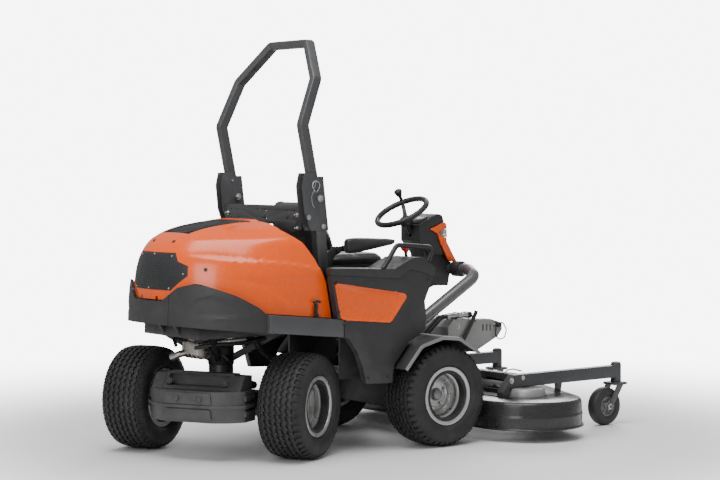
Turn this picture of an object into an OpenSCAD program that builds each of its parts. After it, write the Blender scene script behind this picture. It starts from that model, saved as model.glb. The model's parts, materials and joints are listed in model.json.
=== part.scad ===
// Front mower: rear steered bogie, tilting engine hood, folding roll bar, floating three blade deck.
// Millimetres, +X forward, +Y left, +Z up. Every x below is measured from the front axle;
// placed() then moves the whole machine so that the origin is under the middle of its length.

/* [Running gear] */
// Distance from the front axle to the rear steering pivot
wheelbase = 985; // [960:5:1200]
// Half the front track
front_half_track = 446; // [440:2:530]
// Half the rear track
rear_half_track = 425; // [415:2:510]
// Outer diameter of the four drive tyres
tyre_d = 508; // [470:2:520]
// Width of a drive tyre
tyre_w = 240; // [210:2:250]
// Diameter over a drive rim's flanges
rim_d = 292; // [270:2:300]
// Wheel bolts on each rim
wheel_bolts = 4; // [3:1:6]
// Steering angle that the machine stands at
steer_angle = 27; // [0:1:35]
// Radius of a wheel's stub shaft
stub_r = 20; // [14:1:24]
// Radius of the steering pivot shaft
pivot_r = 42; // [30:1:48]

/* [Body] */
// Half width of the hood
hood_half_w = 452; // [420:1:480]
// Height of the hood's top
hood_top_z = 1142; // [1110:2:1180]
// Height of the hood's base
hood_base_z = 655; // [640:1:670]
// Hood wall thickness
hood_wall = 5; // [3:0.5:8]
// Distance from the front axle to the hood's rearmost point
hood_rear = 1398; // [1380:1:1404]
// Distance from the front axle to the rear bumper's rearmost point
rear_reach = 1418; // [1410:1:1450]
// Half width over the console panels and side beams
body_half_w = 500; // [492:1:515]
// Skin thickness of the console panels
skin = 5; // [3:0.5:8]

/* [Operator place] */
// Radius of the steering wheel's rim, to the middle of the grip
wheel_ring_r = 138; // [120:1:170]
// Radius of the steering wheel's grip
grip_r = 15; // [11:0.5:18]
// Tilt of the steering wheel from flat
wheel_tilt = 29; // [20:1:40]
// Half width of the seat cushion
seat_half_w = 245; // [215:1:250]
// Outer radius of the front hoop's pipe
hoop_pipe_r = 31; // [22:1:34]
// Outer radius of the grab rail's pipe
rail_r = 12.5; // [9:0.5:15]

/* [Roll bar] */
// Half the distance between the roll bar's post centres
post_half_y = 342; // [338:1:352]
// Front to back depth of the roll bar tube
tube_d = 50; // [40:1:55]
// Side to side width of the roll bar tube
tube_w = 40; // [34:1:44]
// Thickness of the hinge plates and of the cross plate
plate_t = 6; // [5:0.5:10]
// Height of the folding hinge
rops_pivot_z = 1240; // [1230:1:1260]
// Radius of the holes in the cross plate
plate_hole_r = 4.5; // [3.5:0.25:6]
// Spacing across each group of four plate holes
plate_hole_dy = 60; // [40:1:80]
// Spacing up each group of four plate holes
plate_hole_dz = 40; // [30:1:50]

/* [Deck] */
// Radius of each blade
blade_r = 264; // [230:1:268]
// Gap from a blade tip to the deck wall
blade_gap = 18; // [14:1:30]
// Distance from the middle of the deck to the side blades
blade_dy = 508; // [500:1:530]
// How far forward the middle blade sits
blade_dx = 225; // [210:1:240]
// Thickness of the deck's steel
deck_t = 5; // [3:0.5:8]
// Height of the deck's lower edge
deck_z0 = 62; // [40:1:80]
// Height of the deck's top
deck_z1 = 205; // [190:1:210]
// Half the distance between the casters
caster_half_y = 473; // [440:1:520]
// Distance from the front axle to the casters' swivel axes
caster_x = 1273; // [1240:1:1300]
// Diameter of a caster wheel
caster_d = 205; // [180:1:205]
// Trail of a caster
caster_trail = 90; // [70:1:95]
// Radius of a blade spindle's shaft
spindle_r = 15; // [12:0.5:18]
// Diameter of the holes for the tow bracket's bolts in the counterweight
tow_hole_d = 13; // [10:0.5:16]

/* [Hidden] */
$fn = 48;

orange = "orangered";
charcoal = [0.22, 0.22, 0.23];
black = [0.07, 0.07, 0.08];
steel = [0.62, 0.62, 0.6];
casting = [0.55, 0.55, 0.54];

running = 0.06;      // radial clearance of a shaft in its hole
gap = 0.4;           // clearance between pieces that sit against each other
slit = 4;            // visible joint between the hood and its lower cover

// --- overall ---
crown_front = 40;    // a caster fork's crown in front of its swivel axis
axle_z = tyre_d / 2;

// --- wheels ---
rim_flange_y = 104;                       // outer face of a rim's flanges
bead_r = rim_d / 2 - 18;
// half of a tyre's outer profile, from the bead to the middle of the tread, as radius and side offset
tyre_half = let (r = tyre_d / 2, w = tyre_w / 2, b = bead_r + gap, f = rim_flange_y - 7)
  [[b, f - 34], [b, f], [rim_d / 2 + 2, f], [rim_d / 2 + 8, f + 10], [r - 76, w - 2], [r - 48, w],
    [r - 24, w - 5], [r - 9, w - 20], [r - 3, w - 46], [r, w - 80]];
disc_y = 10;                              // outer face of the wheel disc, outboard of the wheel's middle
hub_r = 40;
hub_in_y = -92;                           // inner end of the rotating hub
stub_len = 60;

// --- frame ---
rail_y = 190;                             // inner side of the main rails
rail_w = 50;
rail_z0 = 584;
rail_z1 = 634;
rail_rear_x = -1270;
plate_y = 205;                            // inner face of the front side plates
side_plate_t = 12;
seat_box_half = 284;
floor_z = 385;
floor_t = 15;
floor_half = 305;
lift_pivot = [215, 300];                  // x and z of the lift arms' hinge
lift_shaft_r = 15;
deck_pivot = [440, 300];                  // x and z of the hinge between the arms and the deck
deck_shaft_r = 12;

// --- hood ---
hood_mid_x = -860;                        // where the hood's plan starts to narrow
hood_front_x = -640;
hood_hinge = [-1372, 784];
hood_pin_r = 8;
plan_power = 2.2;
side_power = [4, 2.8];                    // squareness of the hood's section in front and at its tail
tail_power = 4.7;
tail_fall = 0.12;                         // how much lower the roof line ends
trim_top = [[-1600, 850], [-1400, 850], [-1336, 850], [-1290, 842],
  [-1180, 795], [-1085, 738], [-1050, 706], [-600, 661]];
tail_window = [[-330, 1400], [-300, 854], [-275, 850], [-205, 830], [-150, 786], [-120, 766], [120, 766],
  [150, 786], [205, 830], [275, 850], [300, 854], [330, 1400]];
trim_low = [[-600, 575], [-1050, 620], [-1250, 638], [-1420, 655], [-1600, 662]];
hood_front_cut = [[-652, 560], [-652, 665], [-683, 841], [-735, 950], [-790, 1030], [-870, 1090],
  [-900, 1200], [-300, 1200], [-300, 560]];
// furthest forward that the hood's lower front corner swings
hood_swing_x = hood_hinge.x + norm([hood_front_cut[1].x, hood_front_cut[1].y] - hood_hinge) + 4;
grille_rear = [[-143, 990], [-172, 950], [-222, 930], [-229, 885], [-153, 815],
  [153, 815], [229, 885], [222, 930], [172, 950], [143, 990]];
grille_top = [[-1245, -112], [-925, -165], [-925, 165], [-1245, 112]];

// --- operator place ---
wheel_centre = [158, 0, 1155];
column_drop = 46;                         // from the ring's plane down to the hub's top
tower_half_y = 76;
hoop_cross = [452, 0, 852];               // middle of the hoop's cross pipe
hoop_foot = [-118, 297, 520];
hoop_half_y = 190;
seat_z = 905;

// --- roll bar ---
rops_pivot_x = -668;
post_foot = [-612, post_half_y, 640];
post_head = [-655, post_half_y, 1150];
hoop_foot_p = [-662, post_half_y, 1212];
hoop_kink = [-744, post_half_y, 1592];
hoop_shoulder = [-648, post_half_y - 24, 1815];
hoop_corner = [-562, 150, 1990];
cross_plate_x = -738;
cross_plate_top = 1205;

// --- bogie ---
pivot_top_z = 512;
axle_block_z0 = 200;

// --- deck ---
deck_wall_r = blade_r + blade_gap + deck_t;
side_blade = [575, blade_dy];
mid_blade = [575 + blade_dx, 0];
blade_z = 84;
housing_r = 42;
pulley_z = 230;
pulley_r = 68;
belt_w = 12;
arm_z0 = 253;
arm_z1 = 318;
arm_w = 46;
stem_r = 16;
caster_axle_r = 8;
caster_w = 66;

// --- middle of the whole length: the casters' crowns in front, the steered outer tyre or the bumper behind ---
front_reach = caster_x + crown_front;
tyre_reach = wheelbase + rear_half_track * sin(steer_angle)
  + max([for (p = tyre_half) p.x * cos(steer_angle) + p.y * sin(steer_angle)]);
origin_x = (front_reach - max(rear_reach, tyre_reach)) / 2;

// ------------------------------------------------------------------ helpers
module placed() translate([-origin_x, 0, 0]) children();
module both() { children(); mirror([0, 1, 0]) children(); }
module box(a, b) translate(a) cube(b - a);
module side_cut(points, y0, y1) translate([0, y1, 0]) rotate([90, 0, 0]) linear_extrude(y1 - y0) polygon(points);
module along(a, b) {
  d = b - a;
  translate(a) rotate([0, acos(d.z / norm(d)), atan2(d.y, d.x)]) children();
}
module rod(a, b, r) along(a, b) cylinder(h = norm(b - a), r = r);
module bar(a, b, w, h) along(a, b) translate([-w / 2, -h / 2, 0]) cube([w, h, norm(b - a)]);
function unit(v) = v / norm(v);
// Points along a line whose inner corners are rounded to the given radius.
function bent(points, bend, n) =
  [points[0], for (i = [1:len(points) - 2]) each
    let (u = unit(points[i] - points[i - 1]), v = unit(points[i + 1] - points[i]), turn = acos(u * v),
      inward = unit(v - u * (u * v)), start = points[i] - u * bend * tan(turn / 2), mid = start + inward * bend)
    [for (j = [0:n]) mid - inward * bend * cos(turn * j / n) + u * bend * sin(turn * j / n)],
  points[len(points) - 1]];
// A round pipe. Its joints are a hair thicker than the straights, so that no two faces coincide.
module pipe(points, r, bend, n) {
  line = bent(points, bend, n);
  for (i = [0:len(line) - 2]) rod(line[i], line[i + 1], r);
  for (i = [1:len(line) - 2]) translate(line[i]) sphere(r = r + 0.25);
}
// A slim pipe or hose as one closed skin around its line. The line may not run along Y.
module slim_pipe(points, r, bend, n) {
  line = bent(points, bend, n);
  k = 20;
  m = len(line) - 1;
  skin_points = [for (i = [0:m])
    let (d = unit(unit(line[min(i + 1, m)] - line[min(i, m - 1)]) + unit(line[max(i, 1)] - line[max(i - 1, 0)])),
      side = unit(cross(d, [0, 1, 0])), up = cross(side, d))
    for (j = [0:k - 1]) line[i] + r * (side * cos(360 * j / k) + up * sin(360 * j / k))];
  polyhedron(skin_points, concat(
    [for (i = [0:m - 1], j = [0:k - 1]) let (a = i * k + j, b = i * k + (j + 1) % k) each
      [[a, b, b + k], [a, b + k, a + k]]],
    [[for (j = [k - 1:-1:0]) j], [for (j = [0:k - 1]) m * k + j]]));
}
module across(x, z, y0, y1, r) translate([x, y1, z]) rotate([90, 0, 0]) cylinder(h = y1 - y0, r = r);
module bogie() translate([-wheelbase, 0, 0]) rotate([0, 0, steer_angle]) children();
function arc(centre, r, from, to, n) =
  [for (i = [0:n]) let (a = from + (to - from) * i / n) [centre.x + r * cos(a), centre.y + r * sin(a)]];

// ------------------------------------------------------------------ body shells
function dome_width(x, rear, half) = x > hood_mid_x ? half
  : half * pow(1 - pow((hood_mid_x - x) / (hood_mid_x + rear), plan_power), 1 / plan_power);
function tail_share(x, rear) = max(0, (hood_mid_x - x) / (hood_mid_x + rear));
function dome_height(x, rear, high) = let (t = tail_share(x, rear))
  high * (1 - tail_fall * t) * pow(1 - pow(t, tail_power), 1 / tail_power);
function dome_ring(x, rear, half, high, base, n) =
  let (p = side_power[0] + (side_power[1] - side_power[0]) * tail_share(x, rear))
  [for (j = [0:n]) let (a = 180 * j / n, c = cos(a), s = sin(a))
    [x, -sign(c) * dome_width(x, rear, half) * pow(abs(c), 2 / p),
      base + dome_height(x, rear, high) * pow(s, 2 / p)]];
// A shell that is open below and in front. Its stations close up towards the tail, which lies rear behind
// the front axle.
module dome(rear, half, high, base, wall, front) {
  n = 26;
  shares = [0.004, 0.02, 0.05, 0.1, 0.17, 0.26, 0.37, 0.5, 0.66, 0.84, 1];
  back = [for (s = shares) -rear + (rear + hood_mid_x) * s];
  xs = concat(back, [hood_mid_x + (front - hood_mid_x) / 2, front]);
  inner_back = [for (s = shares) -rear + wall + (rear - wall + hood_mid_x) * s];
  xi = concat(inner_back, [hood_mid_x + (front - hood_mid_x) / 2, front]);
  outer = [for (x = xs) each dome_ring(x, rear, half, high, base, n)];
  inner = [for (x = xi) each dome_ring(x, rear - wall, half - wall, high - wall, base, n)];
  m = n + 1;
  k = len(xs);
  o = m * k;
  faces = concat(
    [for (i = [0:k - 2], j = [0:n - 1]) each [[i * m + j, i * m + j + 1, (i + 1) * m + j + 1],
      [i * m + j, (i + 1) * m + j + 1, (i + 1) * m + j]]],
    [for (i = [0:k - 2], j = [0:n - 1]) each [[o + i * m + j, o + (i + 1) * m + j + 1, o + i * m + j + 1],
      [o + i * m + j, o + (i + 1) * m + j, o + (i + 1) * m + j + 1]]],
    [for (j = [0:n - 1]) each [[(k - 1) * m + j, (k - 1) * m + j + 1, o + (k - 1) * m + j + 1],
      [(k - 1) * m + j, o + (k - 1) * m + j + 1, o + (k - 1) * m + j]]],
    [for (j = [1:n - 1]) [0, j + 1, j]],
    [for (j = [1:n - 1]) [o, o + j, o + j + 1]],
    [for (i = [0:k - 2]) each [[i * m, (i + 1) * m, o + (i + 1) * m], [i * m, o + (i + 1) * m, o + i * m],
      [i * m + n, o + (i + 1) * m + n, (i + 1) * m + n], [i * m + n, o + i * m + n, o + (i + 1) * m + n]]],
    [[0, o, o + n], [0, o + n, n]]);
  polyhedron(concat(outer, inner), faces);
}
module hood_dome(wall) dome(hood_rear, hood_half_w, hood_top_z - hood_base_z, hood_base_z, wall, hood_front_x);
module grille_prisms(shrink) {
  translate([-1500, 0, 0]) rotate([90, 0, 90]) linear_extrude(350)
    polygon([for (p = grille_rear) [p.x * (1 - shrink / 290), 907 + (p.y - 907) * (1 - shrink / 90)]]);
  translate([0, 0, 1000]) linear_extrude(250)
    polygon([for (p = grille_top) [-1117 + (p.x + 1117) * (1 - shrink / 228), p.y * (1 - shrink / 130)]]);
}

module tail_opening(rise) translate([-1500, 0, rise]) rotate([90, 0, 90]) linear_extrude(240)
  polygon(tail_window);
module hood_shell() color(orange) {
  hood_skin();
  // ears and pins that hang the hood on the frame's brackets
  both() {
    side_cut([[-1396, 774], [-1360, 774], [-1360, 796], [-1394, 806]], 73, 80);
    across(hood_hinge.x, hood_hinge.y, 58, 74, hood_pin_r);
  }
}
module hood_skin() difference() {
  hood_dome(hood_wall);
  difference() {
    side_cut(concat([[-1600, 500]], [for (p = trim_top) [p.x, p.y + slit]], [[-600, 500]]), -600, 600);
    tail_opening(slit);
  }
  side_cut(hood_front_cut, -600, 600);
  grille_prisms(0);
  // notches that pass the frame's hinge ears as the hood swings
  both() box([hood_hinge.x - 48, 57, 700], [hood_hinge.x - 9, 73, hood_hinge.y + 2]);
}
module hood_grilles() color(charcoal) intersection() {
  hood_dome(hood_wall - 1);
  grille_prisms(gap);
}
module rear_bumper() color(charcoal) difference() {
  intersection() {
    dome(rear_reach, body_half_w - 1, hood_top_z - 560, 560, 6, hood_front_x);
    side_cut(concat(trim_top, trim_low), -600, 600);
  }
  tail_opening(0);
  box([-1050, -600, 500], [-500, 600, 800]);
}
module side_beam_covers() color(charcoal) both()
  side_cut([[-1050 + gap, 621], [-1050 + gap, 706], [-616, 662], [-616, 577]], 440 + gap, body_half_w);

// ------------------------------------------------------------------ frame and drive
module main_frame() color(black) {
  difference() {
    union() {
      both() box([rail_rear_x, rail_y, rail_z0], [-120, rail_y + rail_w, rail_z1]);
      for (x = [rail_rear_x, -720, -420, -180])
        box([x, -rail_y - 1, rail_z0], [x + 50, rail_y + 1, rail_z1]);
      // outriggers that carry the side beams and the console
      for (x = [-1040, -650]) both() box([x, rail_y + rail_w - 1, rail_z0 + 24], [x + 60, 440, rail_z1 - 12]);
      // plates down to the front axle, with ears for the lift arms
      both() side_cut([[-420, rail_z0 + 2], [-420, 335], [-120, 335], [120, 335], [150, 268], [245, 268],
        [262, 300], [262, 450], [225, 450], [225, floor_z - gap], [-116, floor_z - gap], [-120, rail_z0 + 2]],
        plate_y, plate_y + side_plate_t);
      box([-330, -plate_y - 1, 350], [-290, plate_y + 1, 380]);
      box([60, -plate_y - 1, 340], [110, plate_y + 1, 382]);
      // brackets that carry the hood's hinge pins
      both() side_cut([[rail_rear_x + 2, 590], [-1382, 770], [-1384, 792], [-1372, 800], [-1356, 792],
        [rail_rear_x + 2, 632]], 60, 72);
      // trays for the tank and the battery
      both() box([-588, rail_y + rail_w - 1, 620], [-296, 458, 632 - gap]);
      // steering pivot housing, hung from the rails by four struts
      translate([-wheelbase, 0, 436]) cylinder(h = pivot_top_z + 12 - 436, r = pivot_r + 22);
      for (sx = [-1, 1], sy = [-1, 1])
        bar([-wheelbase + sx * 36, sy * 36, 462], [-wheelbase + sx * 205, sy * (rail_y + 25), rail_z0 + 16], 34, 26);
      // outriggers for the front hoop
      both() box([-160, plate_y + side_plate_t - 1, 450], [-90, hoop_foot.y + 21, 486 - gap]);
    }
    translate([-wheelbase, 0, 400]) cylinder(h = pivot_top_z - 400, r = pivot_r + running);
    across(lift_pivot.x, lift_pivot.y, -300, 300, lift_shaft_r + running);
    both() across(hood_hinge.x, hood_hinge.y, 50, 80, hood_pin_r + running);
  }
  // seat runners
  both() box([-560, 120, 862 + gap], [-250, 150, 874]);
}
module front_axle() color(charcoal) {
  difference() {
    union() {
      box([-110, -216, 178], [110, 216, 335 - gap]);
      both() across(0, axle_z, 215, front_half_track + hub_in_y - gap, 46);
      both() across(0, axle_z, front_half_track + hub_in_y - 26, front_half_track + hub_in_y - gap, 62);
      across(0, 225, -60, 60, 72);
    }
    both() across(0, axle_z, front_half_track + hub_in_y - stub_len - 6, front_half_track, stub_r + running);
  }
}
module rear_axle() color(black) bogie() {
  difference() {
    union() {
      box([-60, -230, axle_block_z0], [60, 230, 310]);
      translate([0, 0, 300]) cylinder(h = 436 - gap - 300, r = pivot_r + 18);
      translate([0, 0, 430]) cylinder(h = pivot_top_z - 2 - 430, r = pivot_r);
      both() across(0, axle_z, 229, rear_half_track + hub_in_y - gap, 62);
    }
    both() across(0, axle_z, rear_half_track + hub_in_y - stub_len - 6, rear_half_track, stub_r + running);
  }
}
module counterweight() color(casting) bogie() difference() {
  union() {
    translate([0, 0, 190]) linear_extrude(147)
      polygon([[-324, -120], [-316, -150], [-290, -200], [-245, -246], [-232, -255], [-130, -255],
        [-130, 255], [-232, 255], [-245, 246], [-290, 200], [-316, 150], [-324, 120]]);
    translate([0, 0, 258]) linear_extrude(14)
      polygon([[-330, -126], [-320, -156], [-294, -206], [-248, -260], [-232, -268], [-132, -268],
        [-132, 268], [-232, 268], [-248, 260], [-294, 206], [-320, 156], [-330, 126]]);
    side_cut([[-250, 336], [-196, 412], [-140, 412], [-140, 336]], -182, 182);
    both() side_cut([[-252, 336], [-206, 404], [-132, 404], [-132, 336]], 181, 240);
    box([-136, -120, 205], [-60 - gap, 120, 300]);
  }
  side_cut([[-270, 350], [-214, 402], [-180, 402], [-180, 350]], -165, 165);
  for (y = [-30, 30]) translate([-330, y, 318]) rotate([0, 90, 0]) cylinder(h = 40, d = tow_hole_d);
}

// ------------------------------------------------------------------ wheels, about their own centres; +Y is outboard
module drive_tyre() {
  r = tyre_d / 2;
  w = tyre_w / 2;
  b = bead_r + gap;
  f = rim_flange_y - 7;
  hollow = [[r - 12, w - 80], [r - 16, w - 42], [r - 30, w - 20], [r - 50, w - 13], [r - 80, w - 15],
    [rim_d / 2 + 10, f - 8], [b + 14, f - 32]];
  rotate([-90, 0, 0]) rotate_extrude($fn = 96)
    polygon(concat(tyre_half, [for (i = [len(tyre_half) - 1:-1:0]) [tyre_half[i].x, -tyre_half[i].y]],
      [for (i = [len(hollow) - 1:-1:0]) [hollow[i].x, -hollow[i].y]], hollow));
}
module drive_rim(cap) {
  t = 4;
  f = rim_flange_y;
  difference() {
    rotate([-90, 0, 0]) {
      rotate_extrude($fn = 96) {
        for (s = [-1, 1]) {
          polygon([[bead_r - t, s * (f - 6)], [rim_d / 2, s * (f - 6)], [rim_d / 2, s * f], [bead_r - t, s * f]]);
          polygon([[bead_r - t, s * (f - 5)], [bead_r, s * (f - 5)], [bead_r, s * (f - 42)],
            [bead_r - 22, s * (f - 58)], [bead_r - 26, s * (f - 56)], [bead_r - t, s * (f - 40)]]);
        }
        polygon([[bead_r - 26, -(f - 56)], [bead_r - 22, -(f - 56)], [bead_r - 22, f - 56], [bead_r - 26, f - 56]]);
        polygon([[0, disc_y - 6], [bead_r - 25, disc_y - 6], [bead_r - 25, disc_y], [0, disc_y]]);
        polygon([[0, hub_in_y], [hub_r, hub_in_y], [hub_r, disc_y - 5], [0, disc_y - 5]]);
        polygon([[0, hub_in_y - stub_len], [stub_r, hub_in_y - stub_len], [stub_r, hub_in_y + 1], [0, hub_in_y + 1]]);
        polygon([[0, disc_y - 1], [27, disc_y - 1], [27, disc_y + 22], [22, disc_y + 30], [0, disc_y + 32]]);
      }
      for (i = [0:wheel_bolts - 1]) rotate([0, 0, 360 * (i + 0.5) / wheel_bolts])
        translate([52, 0, disc_y - 1]) cylinder(h = 12, r = 8);
    }
  }
}
module wheel_at(x, half, side) translate([x, side * half, axle_z]) mirror([0, side < 0 ? 1 : 0, 0]) children();

// ------------------------------------------------------------------ engine bay
module engine() color(casting) {
  box([-1080, -130, rail_z1 + gap], [-800, 130, 850]);
  box([-1050, -90, 849], [-830, 90, 940]);
  box([-1030, -95, pivot_top_z + 28], [-860, 95, rail_z1 + 2]);
  both() box([-1060, 129, 690], [-840, 165, 800]);
  // pump and gearbox at the front of the engine
  box([-801, -95, rail_z1 + gap], [-716, 95, 760]);
  across(-758, 700, -150, -94, 38);
  translate([-1079, 0, 760]) rotate([0, -90, 0]) difference() {
    cylinder(h = 40, r = 52);
    translate([0, 0, 3]) cylinder(h = 40, r = 14 + running);
  }
}
module radiator() color(charcoal) {
  box([-1262, -190, rail_z1 + gap], [-1214, 190, 985]);
  both() box([-1215, 180, 645], [-1165, 186, 975]);
}
module cooling_fan() color("silver") translate([-1080, 0, 760]) rotate([0, -90, 0]) {
  translate([0, 0, 4]) cylinder(h = 96, r = 14);
  translate([0, 0, 48]) cylinder(h = 34, r = 45);
  for (i = [0:6]) rotate([0, 0, i * 360 / 7]) translate([40, 0, 64]) rotate([28, 0, 0])
    translate([0, -32, -2]) cube([118, 64, 4]);
}
module muffler() color(steel) {
  box([-1170, -70, 470], [-1076, 70, 572]);
  box([-1150, -50, 571], [-1030 - gap, 50, 594]);
}
module fuel_tank() color(black) box([-576, -455, 632], [-300, -292, 838]);
module battery() color(black) {
  box([-576, 296, 632], [-350, 452, 790]);
  for (y = [340, 410]) translate([-470, y, 790 - 1]) cylinder(h = 16, r = 9);
}

// ------------------------------------------------------------------ console and floor
panel_edge = [[-690, 878], [-690, 846], [-653, 668], [-612, 664], [-612, 577], [-585, 566], [-535, 500], [-500, 420],
  [-478, 345], [-320, 338], [-306, 425], [-208, 534], [-110, 585], [-100, 640], [-110, 730], [-52, 852],
  [-205, 890], [-275, 846]];
insert_edge = [[-676, 842], [-240, 773], [-226, 765], [-226, 750], [-318, 640], [-334, 632], [-604, 657], [-638, 669]];
module console_panels() color(charcoal) {
  difference() {
    both() side_cut(panel_edge, body_half_w - 34, body_half_w);
    both() side_cut([[-680, 860], [-676, 850], [-640, 676], [-602, 670], [-600, 584], [-522, 500], [-470, 352], [-330, 348],
      [-316, 430], [-214, 542], [-120, 592], [-110, 640], [-120, 730], [-72, 845], [-207, 876], [-279, 835]],
      body_half_w - 60, body_half_w - skin);
    both() side_cut([for (p = insert_edge) p], body_half_w - 60, body_half_w + 10);
  }
  // seat box: top, front wall and sides
  difference() {
    box([-692, -seat_box_half, rail_z1 + gap], [-118, seat_box_half, 862]);
    box([-686, -seat_box_half + skin, 600], [-124, seat_box_half - skin, 856]);
  }
  // shelves that join the seat box to the panels
  both() box([-590, seat_box_half - 1, 838 + gap], [-130, body_half_w - 33, 844]);
  // wall between the engine and the seat
  box([-694, -286, rail_z1 + gap], [-688, 286, 1050]);
}
module console_inserts() color(orange) both() difference() {
  side_cut([for (p = insert_edge) [-450 + (p.x + 450) * 0.9965, 735 + (p.y - 735) * 0.993]],
    body_half_w - 26, body_half_w + 2);
  side_cut([for (p = insert_edge) [-450 + (p.x + 450) * 0.93, 735 + (p.y - 735) * 0.85]],
    body_half_w - 30, body_half_w - 4);
}
cap_edge = [[-692, 878], [-694, 908], [-305, 893], [-190, 944], [-122, 946], [-42, 892], [-48, 853],
  [-52, 852], [-205, 890], [-275, 846], [-690, 878]];
lever_pin = [-95, 898];
rail_points = [[-336, 452, 894], [-250, 452, 1008], [-14, 452, 990], [-50, 452, 922]];
module console_caps() color(charcoal) {
  difference() {
    both() side_cut([for (p = cap_edge) [p.x, p.y + gap]], 290, body_half_w + 2);
    both() side_cut([[-686, 800], [-687, 902], [-306, 887], [-190, 937], [-124, 939], [-50, 889], [-50, 800]],
      296, body_half_w - 4);
    // notch for the roll bar's post, sockets for the grab rail's feet, slots for the levers
    both() box([-700, 289, 840], [-588, 376, 920]);
    // room for the hood's front corner as it swings up
    both() box([-700, 289, 780], [hood_swing_x, hood_half_w + 5, 960]);
    both() rod(rail_points[0] - [14, 0, 18], rail_points[0] + [21, 0, 28], rail_r + 0.7);
    both() rod(rail_points[3] - [14, 0, 26], rail_points[3] + [13, 0, 25], rail_r + 0.7);
    box([-182, -386, 910], [-60, -366, 960]);
    box([-135, -342, 900], [-56, -322, 960]);
  }
  // web and pin that carry the levers
  side_cut([[-120, 866], [-120, 942], [-100, 935], [-70, 914], [-70, 866]], -358, -350);
  across(lever_pin.x, lever_pin.y, -392, -316, 5);
}
pedal_pin = [160, 442];
module foot_platform() color(black) {
  difference() {
    box([-116, -floor_half, floor_z], [222, floor_half, floor_z + floor_t]);
    for (x = [-80:40:190]) box([x, -150, floor_z + 10], [x + 12, 150, floor_z + 20]);
  }
  // ears and pin that carry the drive pedal
  for (y = [-234, -152]) box([148, y, floor_z + floor_t - 1], [172, y + 6, 454]);
  across(pedal_pin.x, pedal_pin.y, -233, -147, 5);
}
fender_line = [[-292, 410], [-190, 522], [-50, 556], [62, 546], [198, 466]];
module front_fenders() color(charcoal) both() {
  side_cut(concat(fender_line, [[189, 457], [58, 536], [-48, 546], [-184, 513], [-283, 404]]),
    floor_half + 27, front_half_track + 126);
  // inner edge and skirt in front of the hoop's leg
  side_cut([[20, 550], [62, 546], [198, 466], [189, 457], [58, 536], [20, 539]], floor_half + gap, floor_half + 28);
  side_cut([[20, floor_z + 1], [20, 545], [58, 541], [189, 460], [192, floor_z + 1]],
    floor_half + gap, floor_half + 6);
}
module seat_frame() color(black) {
  both() across(arm_pivot.x, arm_pivot.y, 253, 264, 6);
  both() side_cut([[-520, 878], [-520, 888], [-280, 888], [-280, 878]], 112, 158);
  box([-540, -210, 888], [-170, 210, seat_z - gap]);
  side_cut([[-500, 889], [-500, 960], [-546, 1134], [-534.8, 1137], [-476.9, 986.6], [-488, 958], [-488, 889]], -190, 190);
  both() box([-530, 180, 888], [-500, 258, 896]);
  both() side_cut([[-530, 888], [-530, 970], [-498, 1000], [-458, 1000], [-446, 986], [-456, 966], [-482, 958],
    [-500, 930], [-500, 888]], 252, 260);
  both() side_cut([[-545, 874 + gap], [-545, 879], [-265, 879], [-265, 874 + gap]], 112, 158);
}
module seat_cushion() color(black) hull() both() {
  translate([-455, seat_half_w - 40, seat_z + 28]) sphere(r = 28, $fn = 20);
  translate([-140, seat_half_w - 45, seat_z + 26]) sphere(r = 26, $fn = 20);
  translate([-140, seat_half_w - 45, seat_z + 6]) cylinder(h = 5, r = 26, $fn = 20);
  translate([-455, seat_half_w - 40, seat_z]) cylinder(h = 5, r = 28, $fn = 20);
}
module seat_backrest() color(black) hull() both() {
  translate([-440, seat_half_w - 50, seat_z + 98]) sphere(r = 40, $fn = 20);
  translate([-504, seat_half_w - 70, 1150]) sphere(r = 33, $fn = 20);
}
arm_pivot = [-466, 982];
module armrest() color(black) {
  hull() {
    across(-410, 1002, 268, 322, 44, $fn = 40);
    across(-147, 1018, 270, 318, 13, $fn = 28);
  }
  side_cut([[-480, 976], [-474, 998], [-410, 1010], [-410, 975]], 264, 269);
  difference() {
    across(arm_pivot.x, arm_pivot.y, 260 + gap, 269, 15);
    across(arm_pivot.x, arm_pivot.y, 250, 265, 6 + running);
  }
}

// ------------------------------------------------------------------ steering
wheel_up = [-sin(wheel_tilt), 0, cos(wheel_tilt)];
module wheel_frame() translate(wheel_centre) rotate([0, -wheel_tilt, 0]) children();
module steering_wheel() color(black) wheel_frame() {
  rotate_extrude($fn = 72) translate([wheel_ring_r, 0]) circle(r = grip_r, $fn = 28);
  translate([0, 0, -column_drop - 30]) cylinder(h = 46, r = 34);
  translate([0, 0, -column_drop - 84]) cylinder(h = 60, r = 14);
  for (a = [45, 180, 292]) rotate([0, 0, a]) rod([22, 0, -column_drop], [wheel_ring_r, 0, 0], 10.5);
  rotate([0, 0, 45]) translate([wheel_ring_r, 0, 10]) {
    cylinder(h = 28, r = 9);
    translate([0, 0, 26]) cylinder(h = 26, r1 = 12, r2 = 22);
    translate([0, 0, 52]) cylinder(h = 14, r1 = 22, r2 = 14);
  }
}
head_edge = [[215, 1085], [300, 1128], [345, 1143], [370, 1135], [384, 1100], [275, 1066], [330, 1040],
  [345, 1000], [380, 930], [290, 925], [215, 1005]];
neck_edge = [[345, 1000], [400, 905], [452, 884], [427, 762], [330, 765], [262, 740], [200, 620],
  [196, floor_z + floor_t + gap], [76, floor_z + floor_t + gap], [80, 620], [210, 790], [270, 900], [262, 960]];
fascia_edge = [[282, 1064], [384, 1098], [395, 1088], [398, 1066], [360, 1057], [342, 1044], [356, 1028],
  [396, 1016], [397, 998], [440, 930], [484, 866], [474, 860], [456, 882], [406, 902], [350, 999], [336, 1038]];
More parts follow.
